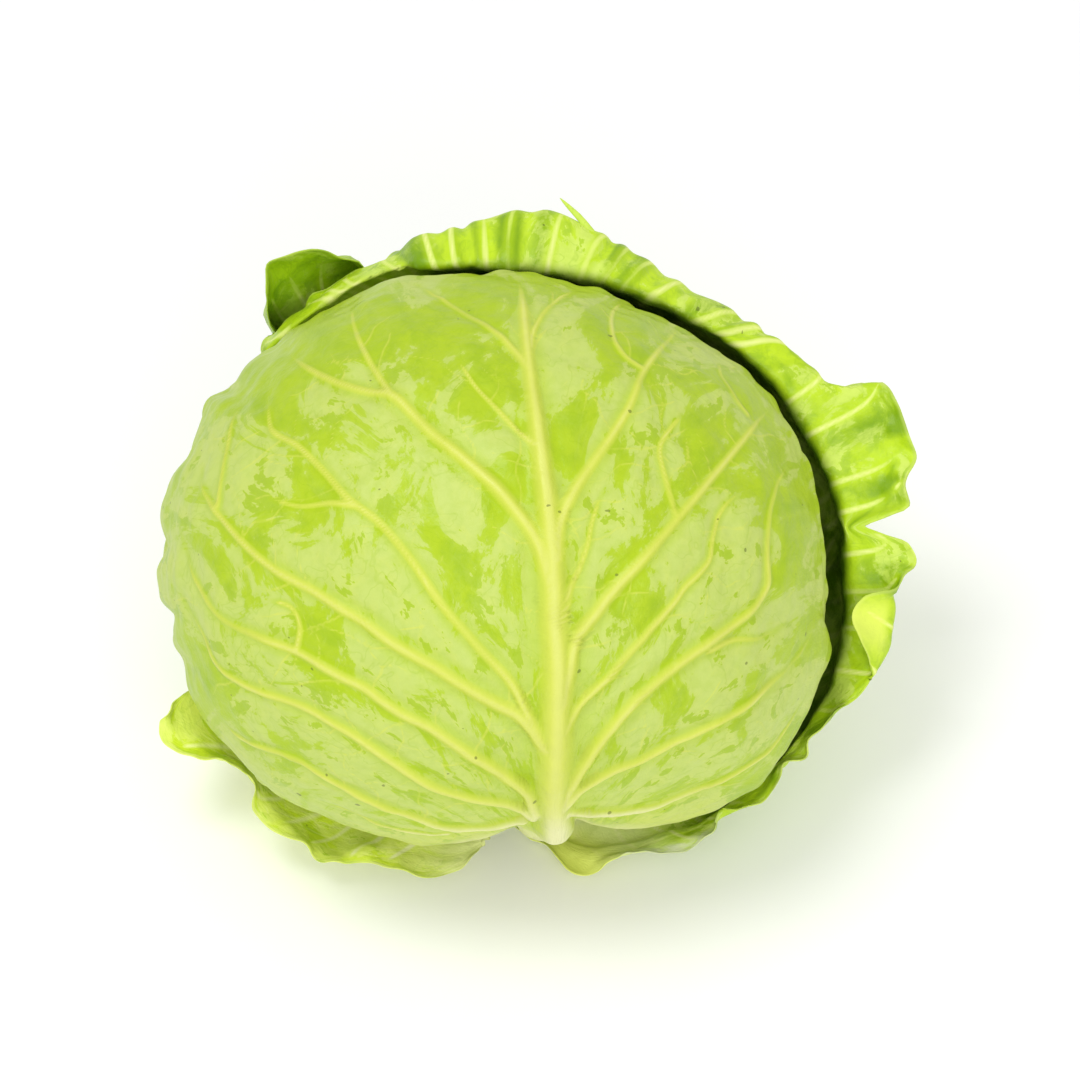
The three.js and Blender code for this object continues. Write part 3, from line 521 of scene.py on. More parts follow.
# Each vein: width at its start and end, height at its start and end, and its route in the front view.
MAJOR = ((4.5, 1.5), (2.1, 0.5))
MIDDLING = ((3.2, 1.3), (1.4, 0.4))
MINOR = ((2.1, 1.0), (0.8, 0.3))
TWIG = ((1.0, 0.7), (0.24, 0.1))
FRONT_VEINS = [
    ((9.6, 2.0), (4.3, 0.9), [
        (555, 829), (554, 790), (556, 720), (556, 654), (553, 600), (551, 555), (546, 500), (539, 448),
        (534, 405), (529, 368), (525, 330), (522, 300), (517, 281),
    ]),
    (*MIDDLING, [(535, 405), (527, 370), (503, 340), (464, 313), (417, 288)]),
    (*MINOR, [(537, 450), (527, 441), (503, 417), (477, 390), (456, 360)]),
    (*MAJOR, [
        (551, 610), (540, 551), (524, 522), (498, 491), (464, 460), (432, 434), (393, 398), (370, 393),
        (349, 388), (328, 380), (304, 367), (288, 352),
    ]),
    (*MINOR, [(393, 398), (372, 366), (357, 334), (354, 312)]),
    (*MIDDLING, [
        (543, 740), (523, 702), (512, 683), (488, 657), (461, 627), (432, 590), (408, 555), (380, 523),
        (349, 499), (323, 470), (299, 447), (273, 431), (270, 410), (265, 384),
    ]),
    (*MINOR, [(357, 507), (333, 504), (302, 507), (273, 500)]),
    (*MAJOR, [
        (545, 745), (523, 716), (496, 702), (461, 683), (421, 659), (381, 632), (349, 611), (314, 590),
        (279, 571), (250, 548), (225, 520), (206, 489), (205, 470),
    ]),
    (*MINOR, [(221, 507), (228, 462), (236, 415), (247, 379)]),
    (*MAJOR, [
        (536, 809), (526, 788), (499, 769), (472, 753), (435, 729), (394, 707), (368, 689), (333, 670),
        (298, 651), (260, 635), (228, 619), (204, 590), (194, 571), (185, 530),
    ]),
    (*MINOR, [(298, 651), (301, 627), (293, 608), (274, 600)]),
    (*MAJOR, [
        (534, 812), (515, 801), (480, 796), (443, 788), (408, 769), (376, 748), (349, 729), (314, 710),
        (279, 697), (242, 681), (215, 657), (204, 632), (186, 600),
    ]),
    (*MAJOR, [
        (523, 815), (488, 821), (448, 823), (408, 812), (368, 796), (335, 780), (301, 761), (266, 748),
        (239, 734), (212, 705),
    ]),
    (*MINOR, [(448, 830), (408, 829), (381, 822), (354, 810), (325, 799)]),
    (*MINOR, [(531, 350), (532, 338), (541, 319), (560, 300), (579, 290)]),
    ((4.0, 1.4), (1.6, 0.4), [
        (556, 560), (558, 528), (571, 496), (592, 464), (611, 437), (627, 410), (641, 376), (659, 351),
        (678, 332),
    ]),
    (*MINOR, [(642, 371), (622, 357), (612, 338), (612, 314), (622, 305)]),
    (*MINOR, [(563, 620), (568, 595), (579, 568), (587, 544), (592, 520), (603, 491)]),
    (*MAJOR, [
        (562, 700), (568, 670), (579, 632), (600, 606), (627, 574), (654, 544), (678, 516), (702, 488),
        (729, 456), (753, 426), (767, 410),
    ]),
    (*MINOR, [(673, 515), (665, 488), (659, 448), (670, 429), (681, 416)]),
    (*MINOR, [(745, 416), (732, 400), (718, 378), (718, 366)]),
    (*MIDDLING, [
        (565, 725), (576, 707), (606, 678), (627, 654), (649, 630), (670, 606), (683, 587), (707, 560),
        (711, 536), (722, 507), (747, 488),
    ]),
    (*MAJOR, [
        (562, 800), (576, 772), (600, 737), (627, 707), (654, 683), (681, 662), (707, 643), (734, 624),
        (756, 603), (765, 584), (764, 555), (766, 515), (775, 482), (788, 464),
    ]),
    (*MINOR, [(707, 651), (734, 640), (761, 638), (788, 622)]),
    (*MAJOR, [
        (566, 800), (579, 788), (608, 769), (640, 758), (670, 742), (707, 724), (740, 707), (769, 686),
        (791, 667), (804, 649), (812, 622),
    ]),
    (*MAJOR, [
        (566, 808), (574, 809), (611, 810), (646, 806), (681, 793), (716, 780), (745, 764), (766, 750),
        (788, 724), (805, 692),
    ]),
]
FRONT_CELLS = 280
FRONT_INNER_STEP = 4  # outer cells to an inner one
FRONT_ROOT = (552, 850)  # where its veins meet, in the front view
FRONT_FAN = 95  # millimetres to a radian of the veins' fan


def front_leaf():
    smooth = front_point(*disc_grid(FRONT_CELLS))
    grid = waved(smooth, False, 0.35)
    places = [(width, height, front_place(route)) for width, height, route in FRONT_VEINS]
    veins = [(front_point(*through(place).T), width, height) for width, height, place in places]
    forks = fork_routes([place for _, _, place in places], 0.06, 0.2, 0.5)
    inside = [fork for fork in forks if max(np.linalg.norm(p) for p in fork) < 0.97]
    twigs = [(front_point(*through(fork).T), *TWIG) for fork in inside]
    away = smooth - seen_at(*view_place(FRONT_ROOT), 0.0)
    across = FRONT_FAN * np.arctan2(away[..., 0], away[..., 1])
    along = np.hypot(away[..., 0], away[..., 1])
    fields, outer, inner = leaf_fields(grid, veins, twigs, 1.0, across, along)
    return leaf_mesh("front_leaf_fine", grid, outer, inner, fields, inner_step=FRONT_INNER_STEP)


# Leaves that lie round the head.
TURN_LENGTH = 1.6  # millimetres to a degree of turn, and to a hundredth of a profile


def along_knots(knots, v):
    """Points a share v of the way along profiles through knots, of shape (knot, ..., 3)."""
    last = len(knots) - 1
    x = np.clip(v, 0, 1) * last
    i = np.minimum(x.astype(int), last - 1)
    t = (x - i)[..., None]

    def at(k):
        k = np.clip(k, 0, last)
        return np.take_along_axis(knots, k[None, ..., None], 0)[0]

    p0, p1, p2, p3 = at(i - 1), at(i), at(i + 1), at(i + 2)
    return 0.5 * (
        2 * p1
        + (p2 - p0) * t
        + (2 * p0 - 5 * p1 + 4 * p2 - p3) * t**2
        + (3 * p1 - p0 - 3 * p2 + p3) * t**3
    )


def round_point(profile, turn, share):
    return along_knots(profile(turn), share)


def forked(routes, every, length):
    """Thin veins beside the given ones. Routes are (turn, share), and a share counts as 100 degrees."""
    scale = np.array([1, 100])
    made = fork_routes([np.array(route, float) * scale for _, _, route in routes], every, length, 0.55)
    clear = [fork for fork in made if all(3 < place[1] < 97 for place in fork)]
    return [(*TWIG, np.array(fork) / scale) for fork in clear]


def round_fields(profile, grid, turn, share, veins, twigs, puff):
    """The fields and reliefs of a leaf laid out in turns and shares of its profile."""
    lines = [
        [(round_point(profile, *through(route).T), width, height) for width, height, route in routes]
        for routes in (veins, twigs)
    ]
    return leaf_fields(grid, *lines, puff, turn * TURN_LENGTH, share * 100 * TURN_LENGTH)


def band_leaf(name, profile, turns, cells, veins, forks, puff, dents, frill=0.5):
    """A leaf laid out as a band of turns by shares. "forks" are the way between forks and their length."""
    steps = np.linspace(*turns, cells[0] + 1), np.linspace(0, 1, cells[1] + 1)
    turn, share = np.meshgrid(*steps, indexing="ij")
    grid = waved(round_point(profile, turn, share), False, dents, frill)
    fields, outer, inner = round_fields(profile, grid, turn, share, veins, forked(veins, *forks), puff)
    return leaf_mesh(name, grid, outer, inner, fields)


# The big wrapper leaf that cups the head from behind: [turn, radius, z] along its rim.
RIM_WALL = curve_through([
    (-84, 80, -46), (-78, 85, -40), (-72, 91, -34), (-60, 97, -30), (-45, 105, -28), (-30, 108.2, -27),
    (-15, 108, -25), (0, 105, -23), (15, 102.8, -21), (28, 99, -19), (45, 93.8, -16), (60, 90, -14),
    (75, 88, -13), (90, 87.6, -13), (107, 91, -17), (125, 93.5, -22), (137, 95, -24),
])
RIM_CREST = curve_through([
    (-84, 81.5, -42), (-78, 88, -36), (-72, 95, -28), (-60, 99.5, -24), (-45, 106.5, -20), (-30, 109.3, -17),
    (-15, 112, -11), (0, 109, -6), (9, 108, -4), (18, 105.5, -3), (26, 103.6, -1), (31, 102.4, 1),
    (37, 100.4, 3), (49, 96.3, 6), (61, 93.6, 7), (72, 91.6, 7.5), (84, 90.2, 8), (98, 91, 6.5),
    (104, 92.4, 5), (108, 94.4, -1), (115, 94.8, -3), (125, 94.6, -6), (137, 95.2, -12),
])
RIM_TURN = curve_through([
    (-84, 83, -38), (-78, 91, -32), (-72, 97.5, -25), (-60, 102, -21), (-45, 108, -17), (-30, 110.5, -14),
    (-25, 114.5, -9), (-18, 120.5, -5), (-12, 125, -3), (-9, 124.6, -3), (-6, 123.5, -4), (-3, 121, -5),
    (0, 121, -5), (2.5, 118, -5), (5, 110.5, -6), (7.5, 119, -4), (15, 123, -3), (24, 122, -2), (29, 115, -1),
    (31, 113.8, -2), (37, 110.7, -2), (46, 105.5, -2), (60, 102.9, -2), (66, 103.4, -2), (72, 105, -1),
    (78, 108.5, -1), (84, 107.8, -1), (91, 105, -1), (98, 102.4, -2), (104, 101.8, -3), (108, 98.6, -8),
    (115, 97.8, -9), (125, 97.4, -12), (137, 96.2, -16),
])
RIM_MARGIN = curve_through([
    (-84, 84.5, -34), (-80, 90, -30), (-77, 99, -24), (-75, 101.3, -22), (-72, 101.9, -21), (-66, 98.5, -19),
    (-60, 105.5, -18), (-57, 108, -17), (-52, 108.7, -15), (-49, 107, -14), (-46, 109.4, -13),
    (-42, 112.4, -12), (-36, 110.9, -11), (-31.5, 111.5, -10), (-25, 116.1, -7), (-18, 122.2, -4),
    (-15, 119.5, 1), (-12, 115, 4), (-9, 112, 4), (-6, 115, 3), (-4.4, 123.5, 1), (-2.7, 127.2, 0),
    (0, 130, -1), (2, 128, -3), (3.7, 119.6, -5), (5, 115, -6), (6, 123, -5), (7.3, 129.7, -3),
    (9.8, 129, -2), (13.8, 134, 0), (20, 133.7, -1), (24.6, 132.1, -3), (26.6, 121.2, -6), (28.5, 113, -8),
    (31, 110.5, -9), (37, 107, -10), (46, 101.5, -11), (60, 98.5, -12), (72, 99.5, -12), (84, 101, -12),
    (98, 98.5, -13), (104, 98.2, -14), (108, 98.4, -15), (115, 98.2, -18), (125, 98.2, -20), (137, 97, -23),
])
RIM_SHOWN = (-121, -110, 111, 128)  # the turns round its middle where the rim stands out from the head
HIDDEN_RIM = [(137, 0), (133, 0.1), (130, 0.3), (127, 0.6)]  # tilt, lift
VISIBLE_WALL_TILT = 107
BACK_KNOTS = 5
RIM_MIDDLE = 26


def wrapper_profile(turn):
    away = turn_between(turn, RIM_MIDDLE)
    shown = window(away, *RIM_SHOWN)
    wall_tilt = lerp(HIDDEN_RIM[0][0], VISIBLE_WALL_TILT, shown)
    steps = np.arange(BACK_KNOTS) / BACK_KNOTS
    knots = [on_head(lerp(180, wall_tilt, step), turn, WRAPPER_LIFT) for step in steps]
    for curve, (tilt, lift) in zip([RIM_WALL, RIM_CREST, RIM_TURN, RIM_MARGIN], HIDDEN_RIM):
        radius, z = curve(away + RIM_MIDDLE)
        hidden = on_head(tilt, turn, WRAPPER_LIFT + lift)
        knots.append(lerp(hidden, seen_at(turn, radius, z), shown[..., None]))
    return np.stack(knots)


LATERAL = ((4.4, 1.4), (1.4, 0.4))
WRAPPER_VEINS = [
    ((10, 2.5), (3.0, 1.0), [
        (-76, 0.6), (-62, 0.5), (-42, 0.4), (-12, 0.26), (30, 0.24), (55, 0.4), (66, 0.56), (70, 0.66),
    ]),
    (*LATERAL, [(-66, 0.53), (-50, 0.56), (-36, 0.6), (-22, 0.66)]),
    (*LATERAL, [(-50, 0.44), (-30, 0.46), (-12, 0.52), (0, 0.6), (6, 0.68)]),
    (*LATERAL, [(-14, 0.27), (2, 0.34), (14, 0.44), (20, 0.56), (22, 0.68)]),
    (*LATERAL, [(22, 0.24), (36, 0.36), (42, 0.48), (44, 0.62)]),
    (*LATERAL, [(-66, 0.53), (-84, 0.46), (-108, 0.42), (-128, 0.44), (-140, 0.52)]),
    (*LATERAL, [(-46, 0.42), (-80, 0.3), (-120, 0.28), (-150, 0.36), (-160, 0.5)]),
    (*LATERAL, [(34, 0.26), (80, 0.2), (112, 0.28), (124, 0.42), (128, 0.56)]),
    (*LATERAL, [(56, 0.41), (78, 0.42), (92, 0.5), (98, 0.62)]),
]
# Places of the rim, as a turn and a spread.
LOWEST_TIP = (-76, 9)
FOLDED_CORNER = (-15, 7)  # has no frill
SMOOTH_CORNER = (-14, 7)  # has no loose folds
CORNER_FLAP = (-10, 5)
# The inner face in the dark gap gets painted shade in the finish.
GAP_MIDDLE = 40  # the turn of the dark gap between the leaf and the head
GAP_TURNS = (-105, -80, 55, 75)  # round its middle
GAP_SHARES = (0.4, 0.55, 0.72, 0.8)
DRY_MIDDLE = -58  # the turn of the dried margin
DRY_TURNS = (-11, -6, 4, 10)  # round its middle
ROLL_FAN = 86  # the turn where the roll's veins run straight out
ROLL_STEP = 6.2
ROLL_TURNS = np.arange(34, 134, ROLL_STEP)
ROLL_SPREAD = curve_through([(0, 0.8), (0.6, 0.8), (0.73, 0.9), (0.86, 1.0), (1, 1.06)])
ROLL_VEINS = ((2.2, 1.1), (0.5, 0.3))
ROLL_RUFFLE = 0.75
LOBE_VEINS = ((2.2, 0.9), (0.5, 0.15))
LOBE_TURNS = np.arange(-70, 30, 6.5)
LOBE_RUFFLE = 0.9
WRAPPER_CELLS = 216


def roll_shift(turn):
    """How far the roll's veins stray from even steps, in degrees of turn."""
    return 1.5 * np.sin(0.23 * turn + 0.5) + 1.0 * np.sin(0.47 * turn + 2)


def rim_veins():
    """The veins that cross the roll, and those that run out into the lobes on the right."""
    made = []
    for turn in ROLL_TURNS:
        out = turn + roll_shift(turn) - ROLL_FAN
        bow = rng.uniform(0.5, 3.5)
        route = [
            (ROLL_FAN + out * float(ROLL_SPREAD(v)[0]) + bow * np.sin(np.pi * (v - 0.6) / 0.4), v)
            for v in (0.6, 0.7, 0.8, 0.9, 0.99)
        ]
        made.append((*ROLL_VEINS, route))
    for turn in LOBE_TURNS:
        turn += rng.uniform(-1.8, 1.8)
        bend = rng.uniform(1.5, 4)
        made.append((*LOBE_VEINS, [(turn - bend, 0.6), (turn - 1, 0.72), (turn, 0.86), (turn + bend, 0.99)]))
    return made


def rim_ruffle(turn, share):
    """The height of the rim's ruffles: ridges under the roll's veins, and looser folds in the lobes."""
    spread = ROLL_SPREAD(share)[0]
    even = ROLL_FAN + turn_between(turn, ROLL_FAN) / spread  # the turn that a vein here starts from
    phase = (even - roll_shift(even) - ROLL_TURNS[0]) / ROLL_STEP
    out = turn_between(turn, ROLL_FAN)
    on_roll = window(out, -54, -46, 20, 30)
    ridge = 0.7 * np.cos(2 * np.pi * phase) + 0.5 * np.sin(np.pi * phase * 0.62 + 1)
    roll = ROLL_RUFFLE * ridge * on_roll * smoothstep(share, 0.7, 0.8)
    in_lobes = window(turn_between(turn, 5), -60, -30, 22, 28) * (1 - hump(turn, *SMOOTH_CORNER))
    fold = np.sin(np.radians(turn * 31)) + 0.6 * np.sin(np.radians(turn * 53 + 40 + 400 * share))
    lobes = LOBE_RUFFLE * fold * in_lobes * smoothstep(share, 0.74, 1)
    return roll + lobes


def wrapper_leaf_back():
    turn, share = polar(*disc_grid(WRAPPER_CELLS))
    ruffle = rim_ruffle(turn, share)
    frill = 0.9 * (1 - hump(turn, *FOLDED_CORNER))
    grid = waved(round_point(wrapper_profile, turn, share), True, 0.3, frill, ruffle)
    veins = WRAPPER_VEINS + rim_veins()
    forks = forked(WRAPPER_VEINS, 7, 15)
    fields, outer, inner = round_fields(wrapper_profile, grid, turn, share, veins, forks, 0.5)
    # Painted light and shade: the lowest tip, which lies in the head's shadow, is painted lighter, and so is
    # the corner flap; the inner face in the dark gap next to the head is painted with shade.
    at_tip = hump(turn, *LOWEST_TIP) * smoothstep(share, 0.5, 0.7)
    on_flap = hump(turn, *CORNER_FLAP) * smoothstep(share, 0.88, 0.93)
    gap_shade = window(share, *GAP_SHARES) * window(turn_between(turn, GAP_MIDDLE), *GAP_TURNS)
    fields["painted_light_and_shade"] = at_tip + 0.8 * on_flap - gap_shade
    # Painted shade: darker green in the valleys between the rim's ruffles.
    fields["hollow_shade"] = np.clip(0.35 - ruffle, 0, 1)
    fields["dry"] = window(turn_between(turn, DRY_MIDDLE), *DRY_TURNS) * smoothstep(share, 0.9, 0.95)
    return leaf_mesh("wrapper_leaf_back_fine", grid, outer, inner, fields, flip=True)


# Two leaves of the tight head beside and behind the front leaf.
side_width = curve_through([(0, 9), (0.12, 20), (0.35, 33), (0.75, 34), (0.93, 20), (1, 7)])
side_middle = curve_through([(0, 102), (0.3, 113), (0.7, 110), (1, 104)])


def side_profile(start, end, lift):
    def profile(turn):
        share = np.clip((turn - start) / (end - start), 0, 1)
        (middle,) = side_middle(share)
        (reach,) = side_width(share)
        return np.stack([on_head(middle + reach * s, turn, lift) for s in np.linspace(1, -1, 6)])

    return profile


def paired_veins(start, end, shares, reach, ahead, width, height):
    """Seven pairs of side veins that leave a midrib between two shares of its length."""
    made = []
    for share in np.linspace(*shares, 7):
        turn = lerp(start, end, share)
        for side in (-1, 1):
            route = [
                (turn + (end - start) * ahead * out**1.4, 0.5 + side * reach * out)
                for out in (0, 0.4, 0.75, 1)
            ]
            made.append((width, height, route))
    return made


def side_leaf(name, start, end, lift):
    midrib = ((8, 2), (0.6, 0.3), [(lerp(start, end, s), 0.5) for s in np.linspace(0.02, 0.68, 7)])
    pairs = paired_veins(start, end, (0.06, 0.62), 0.42, 0.14, (2.6, 1), (0.4, 0.2))
    profile = side_profile(start, end, lift)
    turns = sorted((start, end))
    return band_leaf(name, profile, turns, (200, 90), [midrib, *pairs], forks=(9, 12), puff=0.15, dents=0.12)


# The wrapper leaf behind the upper left, whose tip stands out as a lobe.
UPPER_LOBE = curve_through([
    (113, 99.5, -24), (115, 101.3, -17), (118, 105.4, -12), (121, 110.8, -9), (124, 113.2, -7),
    (127.5, 115.6, -7), (130.5, 109.3, -10), (133.4, 102.5, -17), (136, 99, -26),
])
upper_back = curve_through([
    (113, 124), (125, 136), (140, 148), (170, 160), (200, 160), (213, 154), (221, 143), (229, 134),
    (240, 128), (262, 124),
])
upper_front = curve_through([
    (113, 112), (125, 112), (140, 114), (170, 119), (200, 119), (229, 117), (262, 116),
])


def upper_profile(turn):
    (back,), (front,) = upper_back(turn), upper_front(turn)
    lobe = window(turn, 112, 116, 133, 137.5)
    knots = [on_head(lerp(back, front, k / 5), turn, UPPER_LEAF_LIFT) for k in range(6)]
    radius, z = UPPER_LOBE(turn)
    knots[4] = lerp(knots[4], seen_at(turn, 101.5, z - 16), lobe[..., None])
    knots[5] = lerp(knots[5], seen_at(turn, radius, z), lobe[..., None])
    return np.stack(knots)


UPPER_VEINS = [
    ((8, 2), (1.4, 0.7), [
        (259, 0.5), (246, 0.5), (232, 0.5), (215, 0.47), (190, 0.45), (165, 0.45), (145, 0.52), (130, 0.62),
    ]),
    ((2.4, 1.0), (0.6, 0.3), [(130, 0.62), (127, 0.76), (126, 0.9)]),
    ((1.8, 0.8), (0.4, 0.2), [(134, 0.62), (131.5, 0.78), (130.5, 0.92)]),
    ((1.8, 0.8), (0.4, 0.2), [(127, 0.66), (122, 0.8), (119, 0.93)]),
    *paired_veins(250, 128, (0.1, 0.72), 0.42, 0.12, (3, 1.2), (1.0, 0.4)),
]


def upper_leaf():
    return band_leaf(
        "wrapper_leaf_upper_left_fine", upper_profile, (113, 262), (250, 100), UPPER_VEINS,
        forks=(7, 11), puff=0.4, dents=0.15,
    )


# The crumpled wrapper leaf under the lower left.
LOWER_MARGIN = curve_through([
    (203.5, 105, -20), (204.7, 110, -14), (206, 115.6, -9), (208.9, 116.8, -8), (213.6, 111.6, -9),
    (219.7, 102.8, -15), (223, 103, -15), (226.4, 107.9, -11), (230.2, 109, -10), (235.8, 107.6, -10),
    (239.9, 108.2, -11), (243.7, 105.1, -13), (248, 102.2, -15), (253, 100.5, -16), (258.4, 100, -17),
    (263.6, 96.7, -19), (266, 91.5, -22), (268.5, 88, -26),
])
lower_back = curve_through([
    (203.5, 112), (210, 126), (222, 134), (229, 125), (240, 116), (252, 112), (268.5, 110),
])
LOWER_FOLD = 3.8
LOWER_WALL_TILT = 106


def lower_profile(turn):
    (back,) = lower_back(turn)
    radius, z = LOWER_MARGIN(turn)
    fold = LOWER_FOLD * np.sin(np.radians((turn - 204) * 19)) * window(turn, 204, 212, 250, 264)
    knots = [on_head(lerp(back, LOWER_WALL_TILT, k / 3), turn, LOWER_LEAF_LIFT) for k in range(4)]
    margin = seen_at(turn, radius, z)
    inner = lerp(knots[3], margin, 0.55)
    inner[..., 2] += fold
    return np.stack([*knots, inner, margin])


LOWER_VEINS = [
    ((8, 2), (2.0, 0.6), [(266, 0.4), (256, 0.42), (244, 0.45), (232, 0.45), (220, 0.45), (211, 0.5)]),
    *paired_veins(262, 206, (0.1, 0.8), 0.44, 0.12, (2.8, 1.1), (0.8, 0.3)),
]


def lower_leaf():
    return band_leaf(
        "wrapper_leaf_lower_left_fine", lower_profile, (203.5, 268.5), (220, 90), LOWER_VEINS,
        forks=(5, 8), puff=0.5, dents=0.3, frill=0.8,
    )


# The tight inner head and the stem.
INNER_CELLS = (160, 90)


def revolved(name, rows, fields):
    """A closed mesh of rings of points, shut at both ends by a point in their middles."""
    count, around = rows.shape[:2]
    points = np.vstack([rows.reshape(-1, 3), rows[0].mean(0), rows[-1].mean(0)])
    j, i = np.meshgrid(np.arange(count - 1), np.arange(around), indexing="ij")
    a, b = (j * around + i).ravel(), (j * around + (i + 1) % around).ravel()
    quads = np.stack([a, a + around, b + around, b], -1)
    i = np.arange(around)
    after = (i + 1) % around
    first = np.stack([np.full(around, count * around), i, after], -1)
    last_row = (count - 1) * around
    last = np.stack([np.full(around, count * around + 1), last_row + after, last_row + i], -1)
    values = {key: np.concatenate([v.ravel(), [v[0].mean(), v[-1].mean()]]) for key, v in fields.items()}
    return make_object(name, points, quads, np.vstack([first, last]), values)


def inner_head():
    turns = np.linspace(0, 360, INNER_CELLS[0], endpoint=False)
    tilts = np.linspace(0, 180, INNER_CELLS[1] + 1)[1:-1]
    tilt, turn = np.meshgrid(tilts, turns, indexing="ij")
    grid = on_head(tilt, turn, INNER_LIFT)
    fields = plain_fields(tilt.shape)
    fields.update(base=stem_near(grid), outside=np.ones(tilt.shape))
    fields.update(across=turn * TURN_LENGTH, along=tilt * TURN_LENGTH)
    return revolved("inner_head_fine", grid, fields)


# A small pointed sprig that stands up from the roll's top: places in the front view and its half widths.
SPRIG = [(598, 244), (591, 232), (584, 223), (578, 216), (573, 211), (568, 206), (564, 202), (560, 198)]
SPRIG_HALF_WIDTHS = [1.25, 1.2, 1.1, 1.0, 0.85, 0.65, 0.45, 0.12]
SPRIG_DEPTH = -1.0
SPRIG_AROUND = 14


def sprig():
    middles = seen_at(*view_place(SPRIG), SPRIG_DEPTH)
    ahead = unit(np.gradient(middles, axis=0))
    side = np.cross(ahead, [0, 0, 1])
    angle = np.linspace(0, 2 * np.pi, SPRIG_AROUND, endpoint=False)[:, None]
    ring = np.cos(angle) * side[:, None] + 0.6 * np.sin(angle) * np.array([0, 0, 1.0])
    rows = middles[:, None] + ring * np.array(SPRIG_HALF_WIDTHS)[:, None, None]
    return revolved("wrapper_sprig_fine", rows, plain_fields(rows.shape[:2]))


# The stem from its hidden foot to its cut end: radius, and place along its axis.
STEM_PROFILE = [
    (13, -25.9), (12.4, -20), (11.9, -14), (11.4, -9), (10.7, -4), (10.2, -1.6), (9.7, -0.6), (8.9, -0.1),
    (7.4, 0), (5.5, -0.15), (3.5, -0.5), (1.6, -0.8),
]
STEM_ROWS = 60
STEM_AROUND = 72
STEM_CUT = -1.0  # where along the axis the cut face starts


def stem():
    knots = np.arange(len(STEM_PROFILE))
    fine = np.linspace(0, knots[-1], STEM_ROWS)
    radius, along = (np.interp(fine, knots, values) for values in np.array(STEM_PROFILE).T)
    turn = np.linspace(0, 2 * np.pi, STEM_AROUND, endpoint=False)
    axis = unit(STEM_AXIS)
    side = unit(np.cross(axis, [1, 0, 0]))
    other = np.cross(axis, side)
    ridges = 1 + 0.012 * np.sin(5 * turn) + 0.01 * np.sin(11 * turn + 1)
    ring = np.cos(turn)[:, None] * other + np.sin(turn)[:, None] * side
    rows = STEM_END + along[:, None, None] * axis + (radius[:, None] * ridges)[..., None] * ring
    share = np.repeat((radius / STEM_PROFILE[0][0])[:, None], STEM_AROUND, 1)
    cut = np.repeat((along > STEM_CUT)[:, None].astype(float), STEM_AROUND, 1)
    return revolved("stem_fine", rows[::-1], {"radius": share[::-1], "cut": cut[::-1]})


# Finishes.


def paint(red, green, blue):
    """A display colour of 0 to 255 as a linear colour."""
    display = np.array([red, green, blue]) / 255
    linear = np.where(display <= 0.04045, display / 12.92, ((display + 0.055) / 1.055) ** 2.4)
    return (*(float(v) for v in linear), 1.0)


def blend(a, b, share):
    """A fixed colour between two fixed colours."""
    return tuple(lerp(x, y, share) for x, y in zip(a, b))


class Finish:
    """Builds one material from nodes."""

    def __init__(self, name):
        self.material = bpy.data.materials.new(name)
        self.material.use_nodes = True
        self.tree = self.material.node_tree
        self.shader = self.tree.nodes["Principled BSDF"]
        self.place = self.tree.nodes.new("ShaderNodeTexCoord").outputs["Object"]

    def put(self, socket, value):
        if isinstance(value, bpy.types.NodeSocket):
            self.tree.links.new(value, socket)
        else:
            socket.default_value = value

    def output(self, node, key, inputs):
        """An output of a node, once its inputs are given."""
        for name, value in inputs.items():
            self.put(node.inputs[name], value)
        return node.outputs[key]

    def math(self, operation, a, b=0.0):
        node = self.tree.nodes.new("ShaderNodeMath")
        node.operation = operation
        return self.output(node, 0, {0: a, 1: b})

    def times(self, a, b):
        return self.math("MULTIPLY", a, b)

    def plus(self, a, b):
        return self.math("ADD", a, b)

    def ramp(self, value, low, high, start=0.0, end=1.0):
        node = self.tree.nodes.new("ShaderNodeMapRange")
        node.interpolation_type = "SMOOTHSTEP"
        return self.output(node, 0, dict(enumerate((value, low, high, start, end))))

    def mix(self, share, a, b):
        node = self.tree.nodes.new("ShaderNodeMix")
        node.data_type = "RGBA"
        return self.output(node, 2, {"Factor": share, 6: a, 7: b})

    def noise(self, scale, detail=3.0, roughness=0.5, distortion=0.0, place=None):
        node = self.tree.nodes.new("ShaderNodeTexNoise")
        look = {"Scale": scale, "Detail": detail, "Roughness": roughness, "Distortion": distortion}
        return self.output(node, "Fac", {"Vector": place or self.place, **look})

    def along_veins(self, across, along, seed):
        """A place in the leaf's own coordinates, scaled across and along its veins."""
        node = self.tree.nodes.new("ShaderNodeCombineXYZ")
        x, y = self.times(self.field("across"), across), self.times(self.field("along"), along)
        return self.output(node, 0, {0: x, 1: y, 2: seed})

    def threads(self, noise, width):
        """Thin lines where a noise crosses its middle value."""
        return self.ramp(self.math("ABSOLUTE", self.math("SUBTRACT", noise, 0.5)), width, 0.0)

    def field(self, name):
        node = self.tree.nodes.new("ShaderNodeAttribute")
        node.attribute_name = name
        return node.outputs["Fac"]

    def bump(self, height, strength, distance):
        node = self.tree.nodes.new("ShaderNodeBump")
        bumped = self.output(node, 0, {"Strength": strength, "Distance": distance, "Height": height})
        self.put(self.shader.inputs["Normal"], bumped)


# Colours of painted shade in hollows, of painted light, of dried margins, of painted shade in the gap and of
# specks.
HOLLOW_SHADE_PAINT = paint(50, 100, 0)
PAINTED_LIGHT_PAINT = paint(236, 246, 110)
DRY_PAINT = paint(212, 220, 174)
GAP_SHADE_PAINT = paint(0, 50, 0)
SPECK_PAINT = paint(84, 92, 30)


